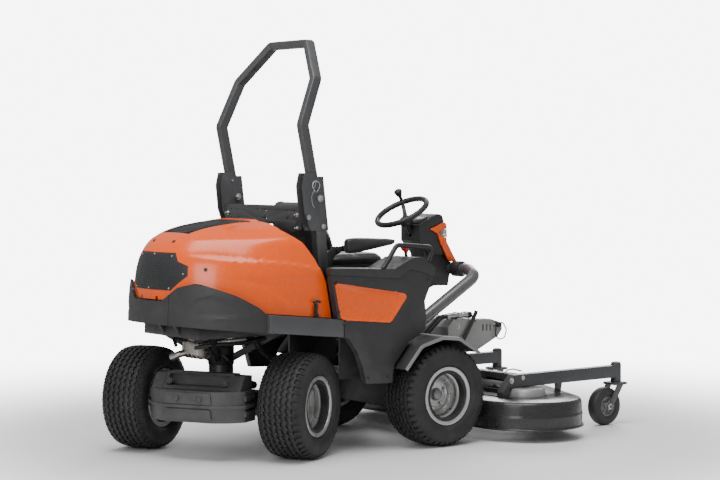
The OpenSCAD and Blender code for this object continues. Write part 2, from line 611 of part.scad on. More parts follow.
module steering_tower() color(charcoal) difference() {
  union() {
    side_cut(head_edge, -tower_half_y, tower_half_y);
    side_cut(neck_edge, -tower_half_y + 18, tower_half_y - 18);
  }
  side_cut([[222, 1078], [300, 1118], [345, 1134], [364, 1126], [366, 1102], [262, 1070], [320, 1036],
    [336, 1000], [366, 938], [292, 933], [222, 1010]], -tower_half_y + 6, tower_half_y - 6);
  side_cut([[392, 905], [440, 878], [420, 771], [330, 774], [256, 748], [191, 622], [188, 390], [84, 390],
    [88, 620], [218, 788], [279, 900], [276, 940], [370, 945]], -tower_half_y + 24, tower_half_y - 24);
  across(hoop_cross.x, hoop_cross.z, -200, 200, hoop_pipe_r + gap);
  wheel_frame() translate([0, 0, -200]) cylinder(h = 200, r = 14 + running);
}
module tower_fascia() color(orange) difference() {
  side_cut([for (p = fascia_edge) [p.x + gap * 2, p.y]], -tower_half_y - 6, tower_half_y + 6);
  side_cut([[290, 1070], [376, 1090], [384, 1072], [344, 1066], [326, 1042], [346, 1018], [384, 1004],
    [388, 994], [430, 925], [462, 870], [440, 880], [398, 900], [352, 990], [330, 1030], [300, 1056]],
    -tower_half_y + 2, tower_half_y - 2);
  across(hoop_cross.x, hoop_cross.z, -200, 200, hoop_pipe_r + 8);
}
module headlamps() color("white") both()
  side_cut([[344, 1044], [361, 1056 - gap], [400, 1064 - gap], [402, 1018 + gap], [358, 1029 + gap]],
    30, tower_half_y + 5);
module front_hoop() color("gray") {
  both() box([-152, hoop_foot.y - 35, 486], [-84, hoop_foot.y + 21, 498]);
  pipe([[hoop_foot.x, -hoop_foot.y, hoop_foot.z], [406, -297, 824], [hoop_cross.x, -hoop_half_y, hoop_cross.z],
    [hoop_cross.x, hoop_half_y, hoop_cross.z], [406, 297, 824], hoop_foot], hoop_pipe_r, 60, 3);
}
module grab_rail() color(black) both()
  slim_pipe(rail_points, rail_r, 30, 5);
// A lever that turns on the caps' pin, with a round knob.
module lever(y, tip, knob_r) color("red") difference() {
  union() {
    across(lever_pin.x, lever_pin.y, y - 7, y + 7, 10);
    bar([lever_pin.x, y, lever_pin.y], tip, 14, 8);
    translate(tip) rotate([90, 0, 0]) sphere(r = knob_r);
  }
  across(lever_pin.x, lever_pin.y, y - 20, y + 20, 5 + running);
}
module lift_lever() lever(-376, [-140, -376, 986], 17);
module throttle_lever() lever(-332, [-92, -332, 974], 15);
module drive_pedal() color(black) difference() {
  union() {
    across(pedal_pin.x, pedal_pin.y, -226, -154, 9);
    side_cut([[150, 442], [70, 426], [68, 432], [150, 452], [240, 488], [243, 482], [168, 444]], -226, -154);
  }
  across(pedal_pin.x, pedal_pin.y, -240, -140, 5 + running);
}

// ------------------------------------------------------------------ roll bar
module hinge_plate(y0, y1) side_cut([[-716, 1085], [-752, 1176], [-765, 1300], [-750, 1362], [-700, 1362],
  [-690, 1345], [-640, 1345], [-608, 1085]], y0, y1);
module rops_posts() color(charcoal) {
  inner = post_half_y - tube_w / 2 - gap - plate_t;
  outer = post_half_y + tube_w / 2 + gap;
  difference() {
    union() {
      both() bar(post_foot, post_head, tube_d + 8, tube_w + 2 * gap + 1);
      both() box([-640, post_half_y - 34, rail_z1 - 12 + gap], [-590, post_half_y + 34, 664]);
      both() hinge_plate(inner, inner + plate_t);
      both() hinge_plate(outer, outer + plate_t);
      // cross plate between the hinge plates
      translate([cross_plate_x, 0, 0]) rotate([90, 0, 90]) linear_extrude(plate_t)
        polygon([[-inner - 1, cross_plate_top], [inner + 1, cross_plate_top], [inner + 1, 1090],
          [250, 1075], [120, 1112], [-120, 1112], [-250, 1075], [-inner - 1, 1090]]);
      both() across(rops_pivot_x, rops_pivot_z, outer + plate_t - 1, outer + plate_t + 12, 13);
      both() across(rops_pivot_x, rops_pivot_z, inner - 11, inner + 1, 13);
    }
    both() across(rops_pivot_x, rops_pivot_z, inner - 1, outer + plate_t + 1, 10 + running);
    for (y = [-238, 0, 238], sy = [-1, 1], sz = [-1, 1])
      translate([cross_plate_x - 10, y + sy * plate_hole_dy / 2, 1158 + sz * plate_hole_dz / 2])
        rotate([0, 90, 0]) cylinder(h = 30, r = plate_hole_r);
  }
  both() across(rops_pivot_x, rops_pivot_z, inner - 12, outer + plate_t + 13, 10);
}
module rops_hoop() color("gray") difference() {
  union() {
    both() bar(hoop_foot_p, hoop_kink, tube_d, tube_w);
    both() bar(hoop_kink - [-2, 0, 12], hoop_shoulder + [2, 0, 8], tube_d, tube_w);
    both() bar(hoop_shoulder - [0, -8, 12], hoop_corner + [0, -8, 8], tube_d, tube_w);
    box([hoop_corner.x - tube_d / 2, -hoop_corner.y - 6, 1976], [hoop_corner.x + tube_d / 2, hoop_corner.y + 6, 2016]);
  }
  both() across(rops_pivot_x, rops_pivot_z, 300, 400, 10 + running);
}

// ------------------------------------------------------------------ front bracket and hydraulics
module front_bracket() color("gainsboro") difference() {
  union() {
    both() side_cut([[262 + gap, 410], [262 + gap, 560], [300, 600], [560, 590], [640, 566], [640, 530], [610, 495],
      [470, 432]], 190, 250);
    side_cut([[262 + gap, 430], [262 + gap, 560], [300, 596], [560, 586], [560, 545], [300, 470]], -191, 191);
  }
  for (i = [0:2], s = [-1, 1]) box([500 + i * 26, s * 260 - 30, 528], [511 + i * 26, s * 260 + 30, 562]);
}
module coupler(p) translate(p) rotate([0, 90, 0]) {
  cylinder(h = 34, r = 13);
  translate([0, 0, 33]) cylinder(h = 26, r = 17);
  translate([0, 0, 58]) cylinder(h = 30, r = 11);
  translate([0, 0, 87]) cylinder(h = 18, r = 15);
}
module hydraulic_couplers() color("silver") {
  for (y = [-236, -205]) coupler([300, y, 618]);
  for (y = [-236, -205]) box([335, y - 10, 603], [352, y + 10, 612]);
  box([325, -250, 599.4], [370, -192, 604]);
}
module hose(points) slim_pipe(points, 9, 50, 6);
module hydraulic_hoses() color(black) {
  for (y = [-236, -205])
    hose([[297, y, 618], [230, y, 612], [70, y - 20, 500], [34, y - 20, 446],
      [34, y - 20, floor_z + floor_t + gap]]);
}
module hood_latches() color(black) both() {
  box([-771, hood_half_w + 3, 680], [-735, hood_half_w + 11, 745]);
  across(-753, 752, hood_half_w + 3, hood_half_w + 17, 16);
}
module fasteners() color("silver") {
  both() for (p = [[-319, 492], [-92, 842]])
    across(p.x, p.y, body_half_w + gap, body_half_w + 7, 7);
  both() for (z = [1096, 1160]) translate([cross_plate_x - 14, 292, z]) rotate([0, 90, 0])
    cylinder(h = 14 - gap, r = 9);
}

// ------------------------------------------------------------------ deck
module lift_frame() color("gainsboro") difference() {
  union() {
    across(lift_pivot.x, lift_pivot.y, -226, 226, lift_shaft_r);
    both() side_cut([[190, 286], [190, 316], [215, 326], [440, 322], [462, 300], [440, 278], [215, 274]], 120, 150);
    box([300, -121, 285], [350, 121, 315]);
  }
  both() across(deck_pivot.x, deck_pivot.y, 100, 160, deck_shaft_r + running);
}
module deck_outline(r) {
  for (s = [-1, 1]) {
    translate([side_blade.x, s * side_blade.y]) circle(r = r, $fn = 96);
    d = [mid_blade.x - side_blade.x, -side_blade.y];
    n = [-d.y, d.x] / norm(d) * r;
    polygon([[side_blade.x, s * side_blade.y], [side_blade.x + n.x, s * (side_blade.y + n.y)],
      [mid_blade.x + n.x, s * n.y], [mid_blade.x, 0]]);
    polygon([[side_blade.x - r, 0], [side_blade.x - r, s * side_blade.y], [side_blade.x, s * side_blade.y],
      [mid_blade.x, 0]]);
  }
  translate(mid_blade) circle(r = r, $fn = 96);
}
module at_blades() {
  translate([side_blade.x, side_blade.y, 0]) children();
  translate([side_blade.x, -side_blade.y, 0]) children();
  translate([mid_blade.x, 0, 0]) children();
}
module deck_shell() color(charcoal) difference() {
  union() {
    difference() {
      translate([0, 0, deck_z0]) linear_extrude(deck_z1 - deck_z0) deck_outline(deck_wall_r);
      translate([0, 0, deck_z0 - 1]) linear_extrude(deck_z1 - deck_z0 - deck_t + 1) deck_outline(deck_wall_r - deck_t);
    }
    translate([0, 0, deck_z0]) linear_extrude(5) difference() {
      deck_outline(deck_wall_r + 10);
      deck_outline(deck_wall_r - 1);
    }
    at_blades() translate([0, 0, 150]) cylinder(h = 68, r = housing_r);
  }
  at_blades() translate([0, 0, 100]) cylinder(h = 200, r = spindle_r + running);
}
module blade(x, y, turn) color(steel) translate([x, y, 0]) {
  cylinder_from_z(blade_z - 8, 232, spindle_r);
  translate([0, 0, blade_z - 8]) cylinder(h = 20, r = 30);
  translate([0, 0, 220]) cylinder(h = 22, r = pulley_r);
  rotate([0, 0, turn]) difference() {
    intersection() {
      translate([-blade_r, -30, blade_z]) cube([2 * blade_r, 60, 6]);
      translate([0, 0, blade_z - 1]) cylinder(h = 20, r = blade_r, $fn = 96);
    }
    for (s = [0, 180]) rotate([0, 0, s]) translate([blade_r - 90, 18, blade_z - 1]) cube([120, 30, 10]);
  }
}
module cylinder_from_z(z0, z1, r) translate([0, 0, z0]) cylinder(h = z1 - z0, r = r);
module belt_loop(r) hull() at_blades() circle(r = r, $fn = 40);
module drive_belt() color(black) translate([0, 0, 225]) linear_extrude(11) difference() {
  belt_loop(pulley_r + gap + 9);
  belt_loop(pulley_r + gap);
}
module belt_covers() color("gainsboro") difference() {
  union() {
    at_blades() translate([0, 0, deck_z1 + gap]) cylinder(h = 44, r1 = pulley_r + 34, r2 = pulley_r + 22);
  }
  at_blades() translate([0, 0, deck_z1 - 1]) cylinder(h = 41, r = pulley_r + 16);
  translate([0, 0, 222]) linear_extrude(17) difference() {
    belt_loop(pulley_r + 14);
    belt_loop(pulley_r - 6);
  }
}
module deck_frame() color(charcoal) difference() {
  union() {
    both() {
      side_cut([[424, deck_z1 + gap], [420, 232], [440, 262], [500, arm_z1], [caster_x, arm_z1], [caster_x, arm_z0],
        [473, arm_z0], [466, 226], [462, deck_z1 + gap]], caster_half_y - arm_w / 2, caster_half_y + arm_w / 2);
      translate([caster_x, caster_half_y, 227]) cylinder(h = 324 - 227, r = 28.5);
    }
    // cross beam and ears for the lift arms
    box([600, -caster_half_y, 262], [650, caster_half_y, 306]);
    both() side_cut([[430, 280], [420, 300], [430, 322], [470, 326], [601, 306], [601, 262], [470, 274]], 152, 172);
    both() side_cut([[850, deck_z1 + gap], [850, arm_z0 + 1], [900, arm_z0 + 1], [890, deck_z1 + gap]],
      caster_half_y - 40, caster_half_y - 32);
    both() box([850, caster_half_y - 40, arm_z0], [900, caster_half_y - 20, arm_z0 + 12]);
    across(deck_pivot.x, deck_pivot.y, -171, 171, deck_shaft_r);
  }
  both() translate([caster_x, caster_half_y, 200]) cylinder(h = 150, r = stem_r + running);
}
module caster_fork(side) color(charcoal) translate([caster_x, side * caster_half_y, 0]) {
  cylinder_from_z(214, 336, stem_r);
  cylinder_from_z(324 + gap, 333, 26);
  box([-50, -46, 214], [crown_front, 46, 227 - gap]);
  for (s = [-1, 1]) mirror([0, s < 0 ? 1 : 0, 0])
    side_cut([[-caster_trail - 17, caster_d / 2 - 14], [-caster_trail + 12, caster_d / 2 - 17], [22, 226], [-26, 226]],
      caster_w / 2 + 5, caster_w / 2 + 12);
  across(-caster_trail, caster_d / 2, -caster_w / 2 - 20, caster_w / 2 + 20, caster_axle_r);
}
module caster_wheel(side) color(black)
  translate([caster_x - caster_trail, side * caster_half_y, caster_d / 2]) rotate([-90, 0, 0]) {
    r = caster_d / 2;
    w = caster_w / 2;
    rotate_extrude($fn = 72) polygon([[51, -w + 6], [70, -w], [r - 12, -w + 3], [r - 3, -w + 14],
      [r, -w + 26], [r, w - 26], [r - 3, w - 14], [r - 12, w - 3], [70, w], [51, w - 6]]);
    rotate_extrude($fn = 72) polygon([[caster_axle_r + running, -w - 4], [20, -w - 4], [20, -10], [44, -10], [44, -w + 6],
      [52, -w + 6], [52, w - 6], [44, w - 6], [44, 10], [20, 10], [20, w + 4], [caster_axle_r + running, w + 4]]);
  }

module shown(name) placed() children();
shown("main_frame") main_frame();
shown("side_beam_covers") side_beam_covers();
shown("rear_bumper") rear_bumper();
shown("engine") engine();
shown("radiator") radiator();
shown("fuel_tank") fuel_tank();
shown("battery") battery();
shown("muffler") muffler();
shown("console_panels") console_panels();
shown("console_inserts") console_inserts();
shown("console_caps") console_caps();
shown("front_fenders") front_fenders();
shown("foot_platform") foot_platform();
shown("front_hoop") front_hoop();
shown("steering_tower") steering_tower();
shown("tower_fascia") tower_fascia();
shown("headlamps") headlamps();
shown("rops_posts") rops_posts();
shown("front_axle") front_axle();
shown("grab_rail") grab_rail();
shown("hydraulic_couplers") hydraulic_couplers();
shown("hydraulic_hoses") hydraulic_hoses();
shown("hood_latches") hood_latches();
shown("fasteners") fasteners();
shown("front_bracket") front_bracket();
shown("hood_shell") hood_shell();
shown("hood_grilles") hood_grilles();
shown("rops_hoop") rops_hoop();
shown("seat_frame") seat_frame();
shown("seat_cushion") seat_cushion();
shown("seat_backrest") seat_backrest();
shown("armrest_left") armrest();
shown("armrest_right") mirror([0, 1, 0]) armrest();
shown("steering_wheel") steering_wheel();
shown("lift_lever") lift_lever();
shown("throttle_lever") throttle_lever();
shown("drive_pedal") drive_pedal();
shown("rear_axle") rear_axle();
shown("counterweight") counterweight();
shown("tyre_front_left") color(black) wheel_at(0, front_half_track, 1) drive_tyre();
shown("rim_front_left") color(steel) wheel_at(0, front_half_track, 1) drive_rim();
shown("tyre_front_right") color(black) wheel_at(0, front_half_track, -1) drive_tyre();
shown("rim_front_right") color(steel) wheel_at(0, front_half_track, -1) drive_rim();
shown("tyre_rear_left") color(black) bogie() wheel_at(0, rear_half_track, 1) drive_tyre();
shown("rim_rear_left") color(steel) bogie() wheel_at(0, rear_half_track, 1) drive_rim();
shown("tyre_rear_right") color(black) bogie() wheel_at(0, rear_half_track, -1) drive_tyre();
shown("rim_rear_right") color(steel) bogie() wheel_at(0, rear_half_track, -1) drive_rim();
shown("cooling_fan") cooling_fan();
shown("lift_frame") lift_frame();
shown("deck_shell") deck_shell();
shown("deck_frame") deck_frame();
shown("drive_belt") drive_belt();
shown("caster_fork_left") caster_fork(1);
shown("caster_fork_right") caster_fork(-1);
shown("caster_wheel_left") caster_wheel(1);
shown("caster_wheel_right") caster_wheel(-1);
shown("blade_left") blade(side_blade.x, side_blade.y, 20);
shown("blade_centre") blade(mid_blade.x, 0, 80);
shown("blade_right") blade(side_blade.x, -side_blade.y, -35);
shown("belt_covers") belt_covers();
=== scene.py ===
import json
import math

import bmesh
import bpy
from mathutils import Matrix, Vector

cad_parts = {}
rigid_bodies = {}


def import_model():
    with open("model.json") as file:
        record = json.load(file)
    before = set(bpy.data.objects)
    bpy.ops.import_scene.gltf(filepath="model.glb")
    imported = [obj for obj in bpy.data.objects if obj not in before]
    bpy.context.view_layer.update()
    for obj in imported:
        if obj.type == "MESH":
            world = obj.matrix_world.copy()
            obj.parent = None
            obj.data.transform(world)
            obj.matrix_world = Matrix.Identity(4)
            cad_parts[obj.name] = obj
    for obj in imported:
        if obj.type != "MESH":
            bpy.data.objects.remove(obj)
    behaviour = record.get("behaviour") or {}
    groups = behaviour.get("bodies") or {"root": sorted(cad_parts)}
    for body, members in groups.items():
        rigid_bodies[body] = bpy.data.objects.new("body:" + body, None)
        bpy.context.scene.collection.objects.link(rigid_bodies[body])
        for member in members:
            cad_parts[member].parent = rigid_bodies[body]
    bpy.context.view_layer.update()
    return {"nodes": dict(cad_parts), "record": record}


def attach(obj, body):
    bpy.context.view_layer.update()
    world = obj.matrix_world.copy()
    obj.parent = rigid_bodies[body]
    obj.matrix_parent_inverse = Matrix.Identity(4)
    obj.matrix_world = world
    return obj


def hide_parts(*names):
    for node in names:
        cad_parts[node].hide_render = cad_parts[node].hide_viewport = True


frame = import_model()
nodes = frame["nodes"]
frontAxle = 0.0643208        # where the front axle stands in the frame; piece sizes below are mm from it
print("frame loaded")


# small helpers
def spot(p):
    return Vector((p[0] / 1000 + frontAxle, p[1] / 1000, p[2] / 1000))


def smoothStep(v, low, high):
    t = min(1, max(0, (v - low) / (high - low)))
    return t * t * (3 - 2 * t)


def lineAt(points, x):       # height of a polyline at x
    for (x0, z0), (x1, z1) in zip(points, points[1:]):
        if x <= x1:
            return z0 + (z1 - z0) * (x - x0) / (x1 - x0)
    return points[-1][1]


def shade(mesh, sharp):
    mesh.shade_smooth()
    mesh.set_sharp_from_angle(angle=math.radians(sharp))


def meshFrom(name, parts, sharp=35, place=None, turn=True):   # parts: (points in mm, faces)
    verts, faces = [], []
    for points, polys in parts:
        first = len(verts)
        verts += [place @ (Vector(p) / 1000) if place else spot(p) for p in points]
        faces += [[i + first for i in poly] for poly in polys]
    mesh = bpy.data.meshes.new(name)
    mesh.from_pydata(verts, [], faces)
    bm = bmesh.new()
    bm.from_mesh(mesh)
    bmesh.ops.remove_doubles(bm, verts=bm.verts, dist=1e-6)
    if turn:
        bmesh.ops.recalc_face_normals(bm, faces=bm.faces)
    bm.to_mesh(mesh)
    bm.free()
    shade(mesh, sharp)
    return mesh


def newObject(name, mesh):
    obj = bpy.data.objects.new(name, mesh)
    bpy.context.scene.collection.objects.link(obj)
    return obj


def bake(obj, sharp=None):   # turns the modifiers' result into the plain mesh
    bpy.context.view_layer.update()
    graph = bpy.context.evaluated_depsgraph_get()
    mesh = bpy.data.meshes.new_from_object(obj.evaluated_get(graph))
    obj.modifiers.clear()
    obj.data = mesh
    if sharp:
        shade(mesh, sharp)
    return obj


def finishPiece(obj, body, material=None, stands=()):
    if material:
        obj.data.materials.clear()
        obj.data.materials.append(material)
    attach(obj, body)
    if stands:
        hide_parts(*stands)
    return obj


def piece(name, parts, body, material, stands=(), sharp=35, bevel=0, place=None):
    obj = newObject(name, meshFrom(name, parts, sharp, place))
    if bevel:
        soften(obj, bevel, sharp=sharp)
    return finishPiece(obj, body, material, stands)


def soften(obj, width, segments=2, angle=32, sharp=40):      # rounds the edges that are sharper than angle
    mod = obj.modifiers.new("edges", "BEVEL")
    mod.width = width / 1000
    mod.segments = segments
    mod.limit_method = "ANGLE"
    mod.angle_limit = math.radians(angle)
    mod.use_clamp_overlap = True
    mod.harden_normals = False
    bake(obj, sharp)


def softened(node, width, segments=2, sharp=40, flat=1.0):   # copy of a CAD node with rounded edges
    mesh = nodes[node].data.copy()
    mesh.name = node + "Soft"
    bm = bmesh.new()
    bm.from_mesh(mesh)
    bmesh.ops.remove_doubles(bm, verts=bm.verts, dist=2e-5)
    bmesh.ops.dissolve_limit(bm, angle_limit=math.radians(flat), verts=bm.verts, edges=bm.edges)
    bm.to_mesh(mesh)
    bm.free()
    for layer in list(mesh.uv_layers):
        mesh.uv_layers.remove(layer)
    obj = newObject(node + "Soft", mesh)
    soften(obj, width, segments, 30, sharp)
    return obj


def roundedNode(node, width, segments, body, slot, material=None):   # such a copy in the node's place
    return finishPiece(softened(node, width, segments), body, material or paint[slot], (node,))


# part builders, all returning (points in mm, faces)
def lathe(profile, steps=64, y0=0):      # (radius, y) turned about the Y axis
    points, faces = [], []
    for i in range(steps):
        a = 2 * math.pi * i / steps
        points += [(r * math.cos(a), y + y0, r * math.sin(a)) for r, y in profile]
    n = len(profile)
    for i in range(steps):
        k = (i + 1) % steps
        faces += [[i * n + j, i * n + j + 1, k * n + j + 1, k * n + j] for j in range(n - 1)]
    return points, faces


def turned(part, matrix):
    return [tuple(matrix @ Vector(p)) for p in part[0]], part[1]


def aimed(p, direction):                 # matrix that takes +Y to a direction, at point p
    return Matrix.Translation(Vector(p)) @ Vector(direction).to_track_quat("Y", "Z").to_matrix().to_4x4()


def ringOf(r, k=20):
    return [(r * math.cos(2 * math.pi * i / k), r * math.sin(2 * math.pi * i / k)) for i in range(k)]


def roundRect(w, h, r, n=4):
    out = []
    for cx, cy, a0 in ((w / 2 - r, h / 2 - r, 0), (r - w / 2, h / 2 - r, 90), (r - w / 2, r - h / 2, 180),
                       (w / 2 - r, r - h / 2, 270)):
        out += [(cx + r * math.cos(math.radians(a0 + 90 * i / n)),
                 cy + r * math.sin(math.radians(a0 + 90 * i / n)))
                for i in range(n + 1)]
    return out


def roundedLine(points, bend, n):        # a line whose inner corners are arcs of the given radius
    points = [Vector(p) for p in points]
    out = [points[0]]
    for a, b, c in zip(points, points[1:], points[2:]):
        u, v = (b - a).normalized(), (c - b).normalized()
        turn = u.angle(v)
        if turn < 0.01 or bend <= 0:
            out.append(b)
            continue
        r = min(bend, 0.48 * min((b - a).length, (c - b).length) / math.tan(turn / 2))
        inward = (v - u * u.dot(v)).normalized()
        mid = b - u * r * math.tan(turn / 2) + inward * r
        out += [mid - inward * r * math.cos(turn * j / n) + u * r * math.sin(turn * j / n)
                for j in range(n + 1)]
    return out + [points[-1]]


def bandFaces(rings, n):                 # four-sided faces between neighbouring rings of n points
    return [[i * n + j, i * n + (j + 1) % n, (i + 1) * n + (j + 1) % n, (i + 1) * n + j]
            for i in range(rings - 1) for j in range(n)]


def sweep(points, section, bend=0, n=8, first=(0, 1, 0), scale=None):   # a section carried along a line
    line = roundedLine(points, bend, n)
    side = Vector(first)
    verts = []
    k = len(section)
    for i, p in enumerate(line):
        ahead = (line[min(i + 1, len(line) - 1)] - line[min(i, len(line) - 2)]).normalized()
        behind = (line[max(i, 1)] - line[max(i - 1, 0)]).normalized()
        way = (ahead + behind).normalized()
        side = (side - way * side.dot(way)).normalized()
        up = way.cross(side)
        s = scale(i / (len(line) - 1)) if scale else 1
        verts += [tuple(p + side * u * s + up * v * s) for u, v in section]
    faces = bandFaces(len(line), k)
    faces += [list(range(k))[::-1], [(len(line) - 1) * k + j for j in range(k)]]
    return verts, faces


def pipe(points, r, bend=0, n=8, k=20):
    return sweep(points, ringOf(r, k), bend, n, first=(0.03, 1, 0.02))


def rod(a, b, r, k=16):
    return pipe([a, b], r, k=k)


def prism(points, a, b, axis="y"):       # a flat outline pushed from a to b along an axis
    put = {"y": lambda p, d: (p[0], d, p[1]), "x": lambda p, d: (d, p[0], p[1]), "z": lambda p,
           d: (p[0], p[1], d)}[axis]
    n = len(points)
    verts = [put(p, a) for p in points] + [put(p, b) for p in points]
    faces = [list(range(n)), list(range(2 * n - 1, n - 1, -1))]
    faces += [[i, (i + 1) % n, n + (i + 1) % n, n + i] for i in range(n)]
    return verts, faces


def block(a, b):
    return prism([(a[0], a[2]), (b[0], a[2]), (b[0], b[2]), (a[0], b[2])], a[1], b[1])


def mirrored(parts):
    return parts + [([(x, -y, z) for x, y, z in points], [face[::-1] for face in faces]) for points,
                    faces in parts]


def hexHead(r, h, washer=0):             # bolt head with a chamfer, standing along +Y from 0
    out = [lathe([(0, 0), (r * 0.97, 0), (r, h * 0.1), (r, h * 0.8), (r * 0.86, h), (0, h)], 6)]
    if washer:
        out.append(lathe([(0, -0.4), (washer, -0.4), (washer, 1.6), (0, 1.6)], 20))
    return out


def boltAt(p, direction, r=6, h=5, washer=9):
    return [turned(part, aimed(p, direction)) for part in hexHead(r, h, washer)]


# Geometry Nodes: copies at points, and copies round an axle
def addSockets(tree, rows):
    tree.interface.new_socket(name="Geometry", in_out="INPUT", socket_type="NodeSocketGeometry")
    keys = {}
    for name, kind, value in rows:
        socket = tree.interface.new_socket(name=name, in_out="INPUT", socket_type=kind)
        if value is not None:
            socket.default_value = value
        keys[name] = socket.identifier
    tree.interface.new_socket(name="Geometry", in_out="OUTPUT", socket_type="NodeSocketGeometry")
    return keys


def copiesAtPoints():
    tree = bpy.data.node_groups.new("copiesAtPoints", "GeometryNodeTree")
    keys = addSockets(tree, [("Piece", "NodeSocketObject", None), ("Size", "NodeSocketFloat", 1.0),
                             ("Size spread", "NodeSocketFloat", 0.0), ("Finish", "NodeSocketMaterial", None)])
    add, link = tree.nodes.new, tree.links.new
    start, end = add("NodeGroupInput"), add("NodeGroupOutput")
    info = add("GeometryNodeObjectInfo")
    aim = add("GeometryNodeInputNamedAttribute")
    aim.data_type = "FLOAT_VECTOR"
    aim.inputs["Name"].default_value = "aim"
    turn = add("FunctionNodeAlignRotationToVector")
    turn.axis = "Y"
    vary = add("FunctionNodeRandomValue")
    vary.data_type = "FLOAT"
    vary.inputs["Seed"].default_value = 7
    low, high = add("ShaderNodeMath"), add("ShaderNodeMath")
    low.operation, high.operation = "SUBTRACT", "ADD"
    place, real = add("GeometryNodeInstanceOnPoints"), add("GeometryNodeRealizeInstances")
    paint = add("GeometryNodeSetMaterial")
    link(start.outputs["Piece"], info.inputs["Object"])
    link(aim.outputs["Attribute"], turn.inputs["Vector"])
    for node in (low, high):
        link(start.outputs["Size"], node.inputs[0])
        link(start.outputs["Size spread"], node.inputs[1])
    link(low.outputs[0], vary.inputs[2])
    link(high.outputs[0], vary.inputs[3])
    link(start.outputs["Geometry"], place.inputs["Points"])
    link(info.outputs["Geometry"], place.inputs["Instance"])
    link(turn.outputs["Rotation"], place.inputs["Rotation"])
    link(vary.outputs[1], place.inputs["Scale"])
    link(place.outputs["Instances"], real.inputs["Geometry"])
    link(real.outputs["Geometry"], paint.inputs["Geometry"])
    link(start.outputs["Finish"], paint.inputs["Material"])
    link(paint.outputs["Geometry"], end.inputs["Geometry"])
    return tree, keys


def copiesRoundAxle():
    tree = bpy.data.node_groups.new("copiesRoundAxle", "GeometryNodeTree")
    keys = addSockets(tree, [("Piece", "NodeSocketObject", None), ("Copies", "NodeSocketInt", 4),
                             ("Phase", "NodeSocketFloat", 0.0), ("Finish", "NodeSocketMaterial", None)])
    add, link = tree.nodes.new, tree.links.new
    start, end = add("NodeGroupInput"), add("NodeGroupOutput")
    info, line = add("GeometryNodeObjectInfo"), add("GeometryNodeMeshLine")
    index = add("GeometryNodeInputIndex")
    line.inputs["Offset"].default_value = (0, 0, 0)
    plus, share, angle = add("ShaderNodeMath"), add("ShaderNodeMath"), add("ShaderNodeMath")
    plus.operation, share.operation, angle.operation = "ADD", "DIVIDE", "MULTIPLY"
    angle.inputs[1].default_value = 2 * math.pi
    pack, turn = add("ShaderNodeCombineXYZ"), add("FunctionNodeEulerToRotation")
    place, real = add("GeometryNodeInstanceOnPoints"), add("GeometryNodeRealizeInstances")
    paint = add("GeometryNodeSetMaterial")
    join = add("GeometryNodeJoinGeometry")
    link(start.outputs["Piece"], info.inputs["Object"])
    link(start.outputs["Copies"], line.inputs["Count"])
    link(index.outputs[0], plus.inputs[0])
    link(start.outputs["Phase"], plus.inputs[1])
    link(plus.outputs[0], share.inputs[0])
    link(start.outputs["Copies"], share.inputs[1])
    link(share.outputs[0], angle.inputs[0])
    link(angle.outputs[0], pack.inputs[1])
    link(pack.outputs[0], turn.inputs[0])
    link(line.outputs["Mesh"], place.inputs["Points"])
    link(info.outputs["Geometry"], place.inputs["Instance"])
    link(turn.outputs[0], place.inputs["Rotation"])
    link(place.outputs["Instances"], real.inputs["Geometry"])
    link(real.outputs["Geometry"], paint.inputs["Geometry"])
    link(start.outputs["Finish"], paint.inputs["Material"])
    link(start.outputs["Geometry"], join.inputs["Geometry"])
    link(paint.outputs["Geometry"], join.inputs["Geometry"])
    link(join.outputs["Geometry"], end.inputs["Geometry"])
    return tree, keys


pointTree, pointKeys = copiesAtPoints()
axleTree, axleKeys = copiesRoundAxle()


def scattered(name, places, part, material, size=1.0, spread=0.0, sharp=35):   # places: (point mm, direction)
    mesh = bpy.data.meshes.new(name + "Points")
    mesh.from_pydata([spot(p) for p, d in places], [], [])
    aim = mesh.attributes.new("aim", "FLOAT_VECTOR", "POINT")
    for i, (p, d) in enumerate(places):
        aim.data[i].vector = d
    obj = newObject(name, mesh)
    one = newObject(name + "One", meshFrom(name + "One", part, sharp, Matrix.Identity(4)))
    mod = obj.modifiers.new("copies", "NODES")
    mod.node_group = pointTree
    mod[pointKeys["Piece"]] = one
    mod[pointKeys["Size"]] = float(size)
    mod[pointKeys["Size spread"]] = float(spread)
    mod[pointKeys["Finish"]] = material
    bake(obj, sharp)
    bpy.data.objects.remove(one)
    return obj


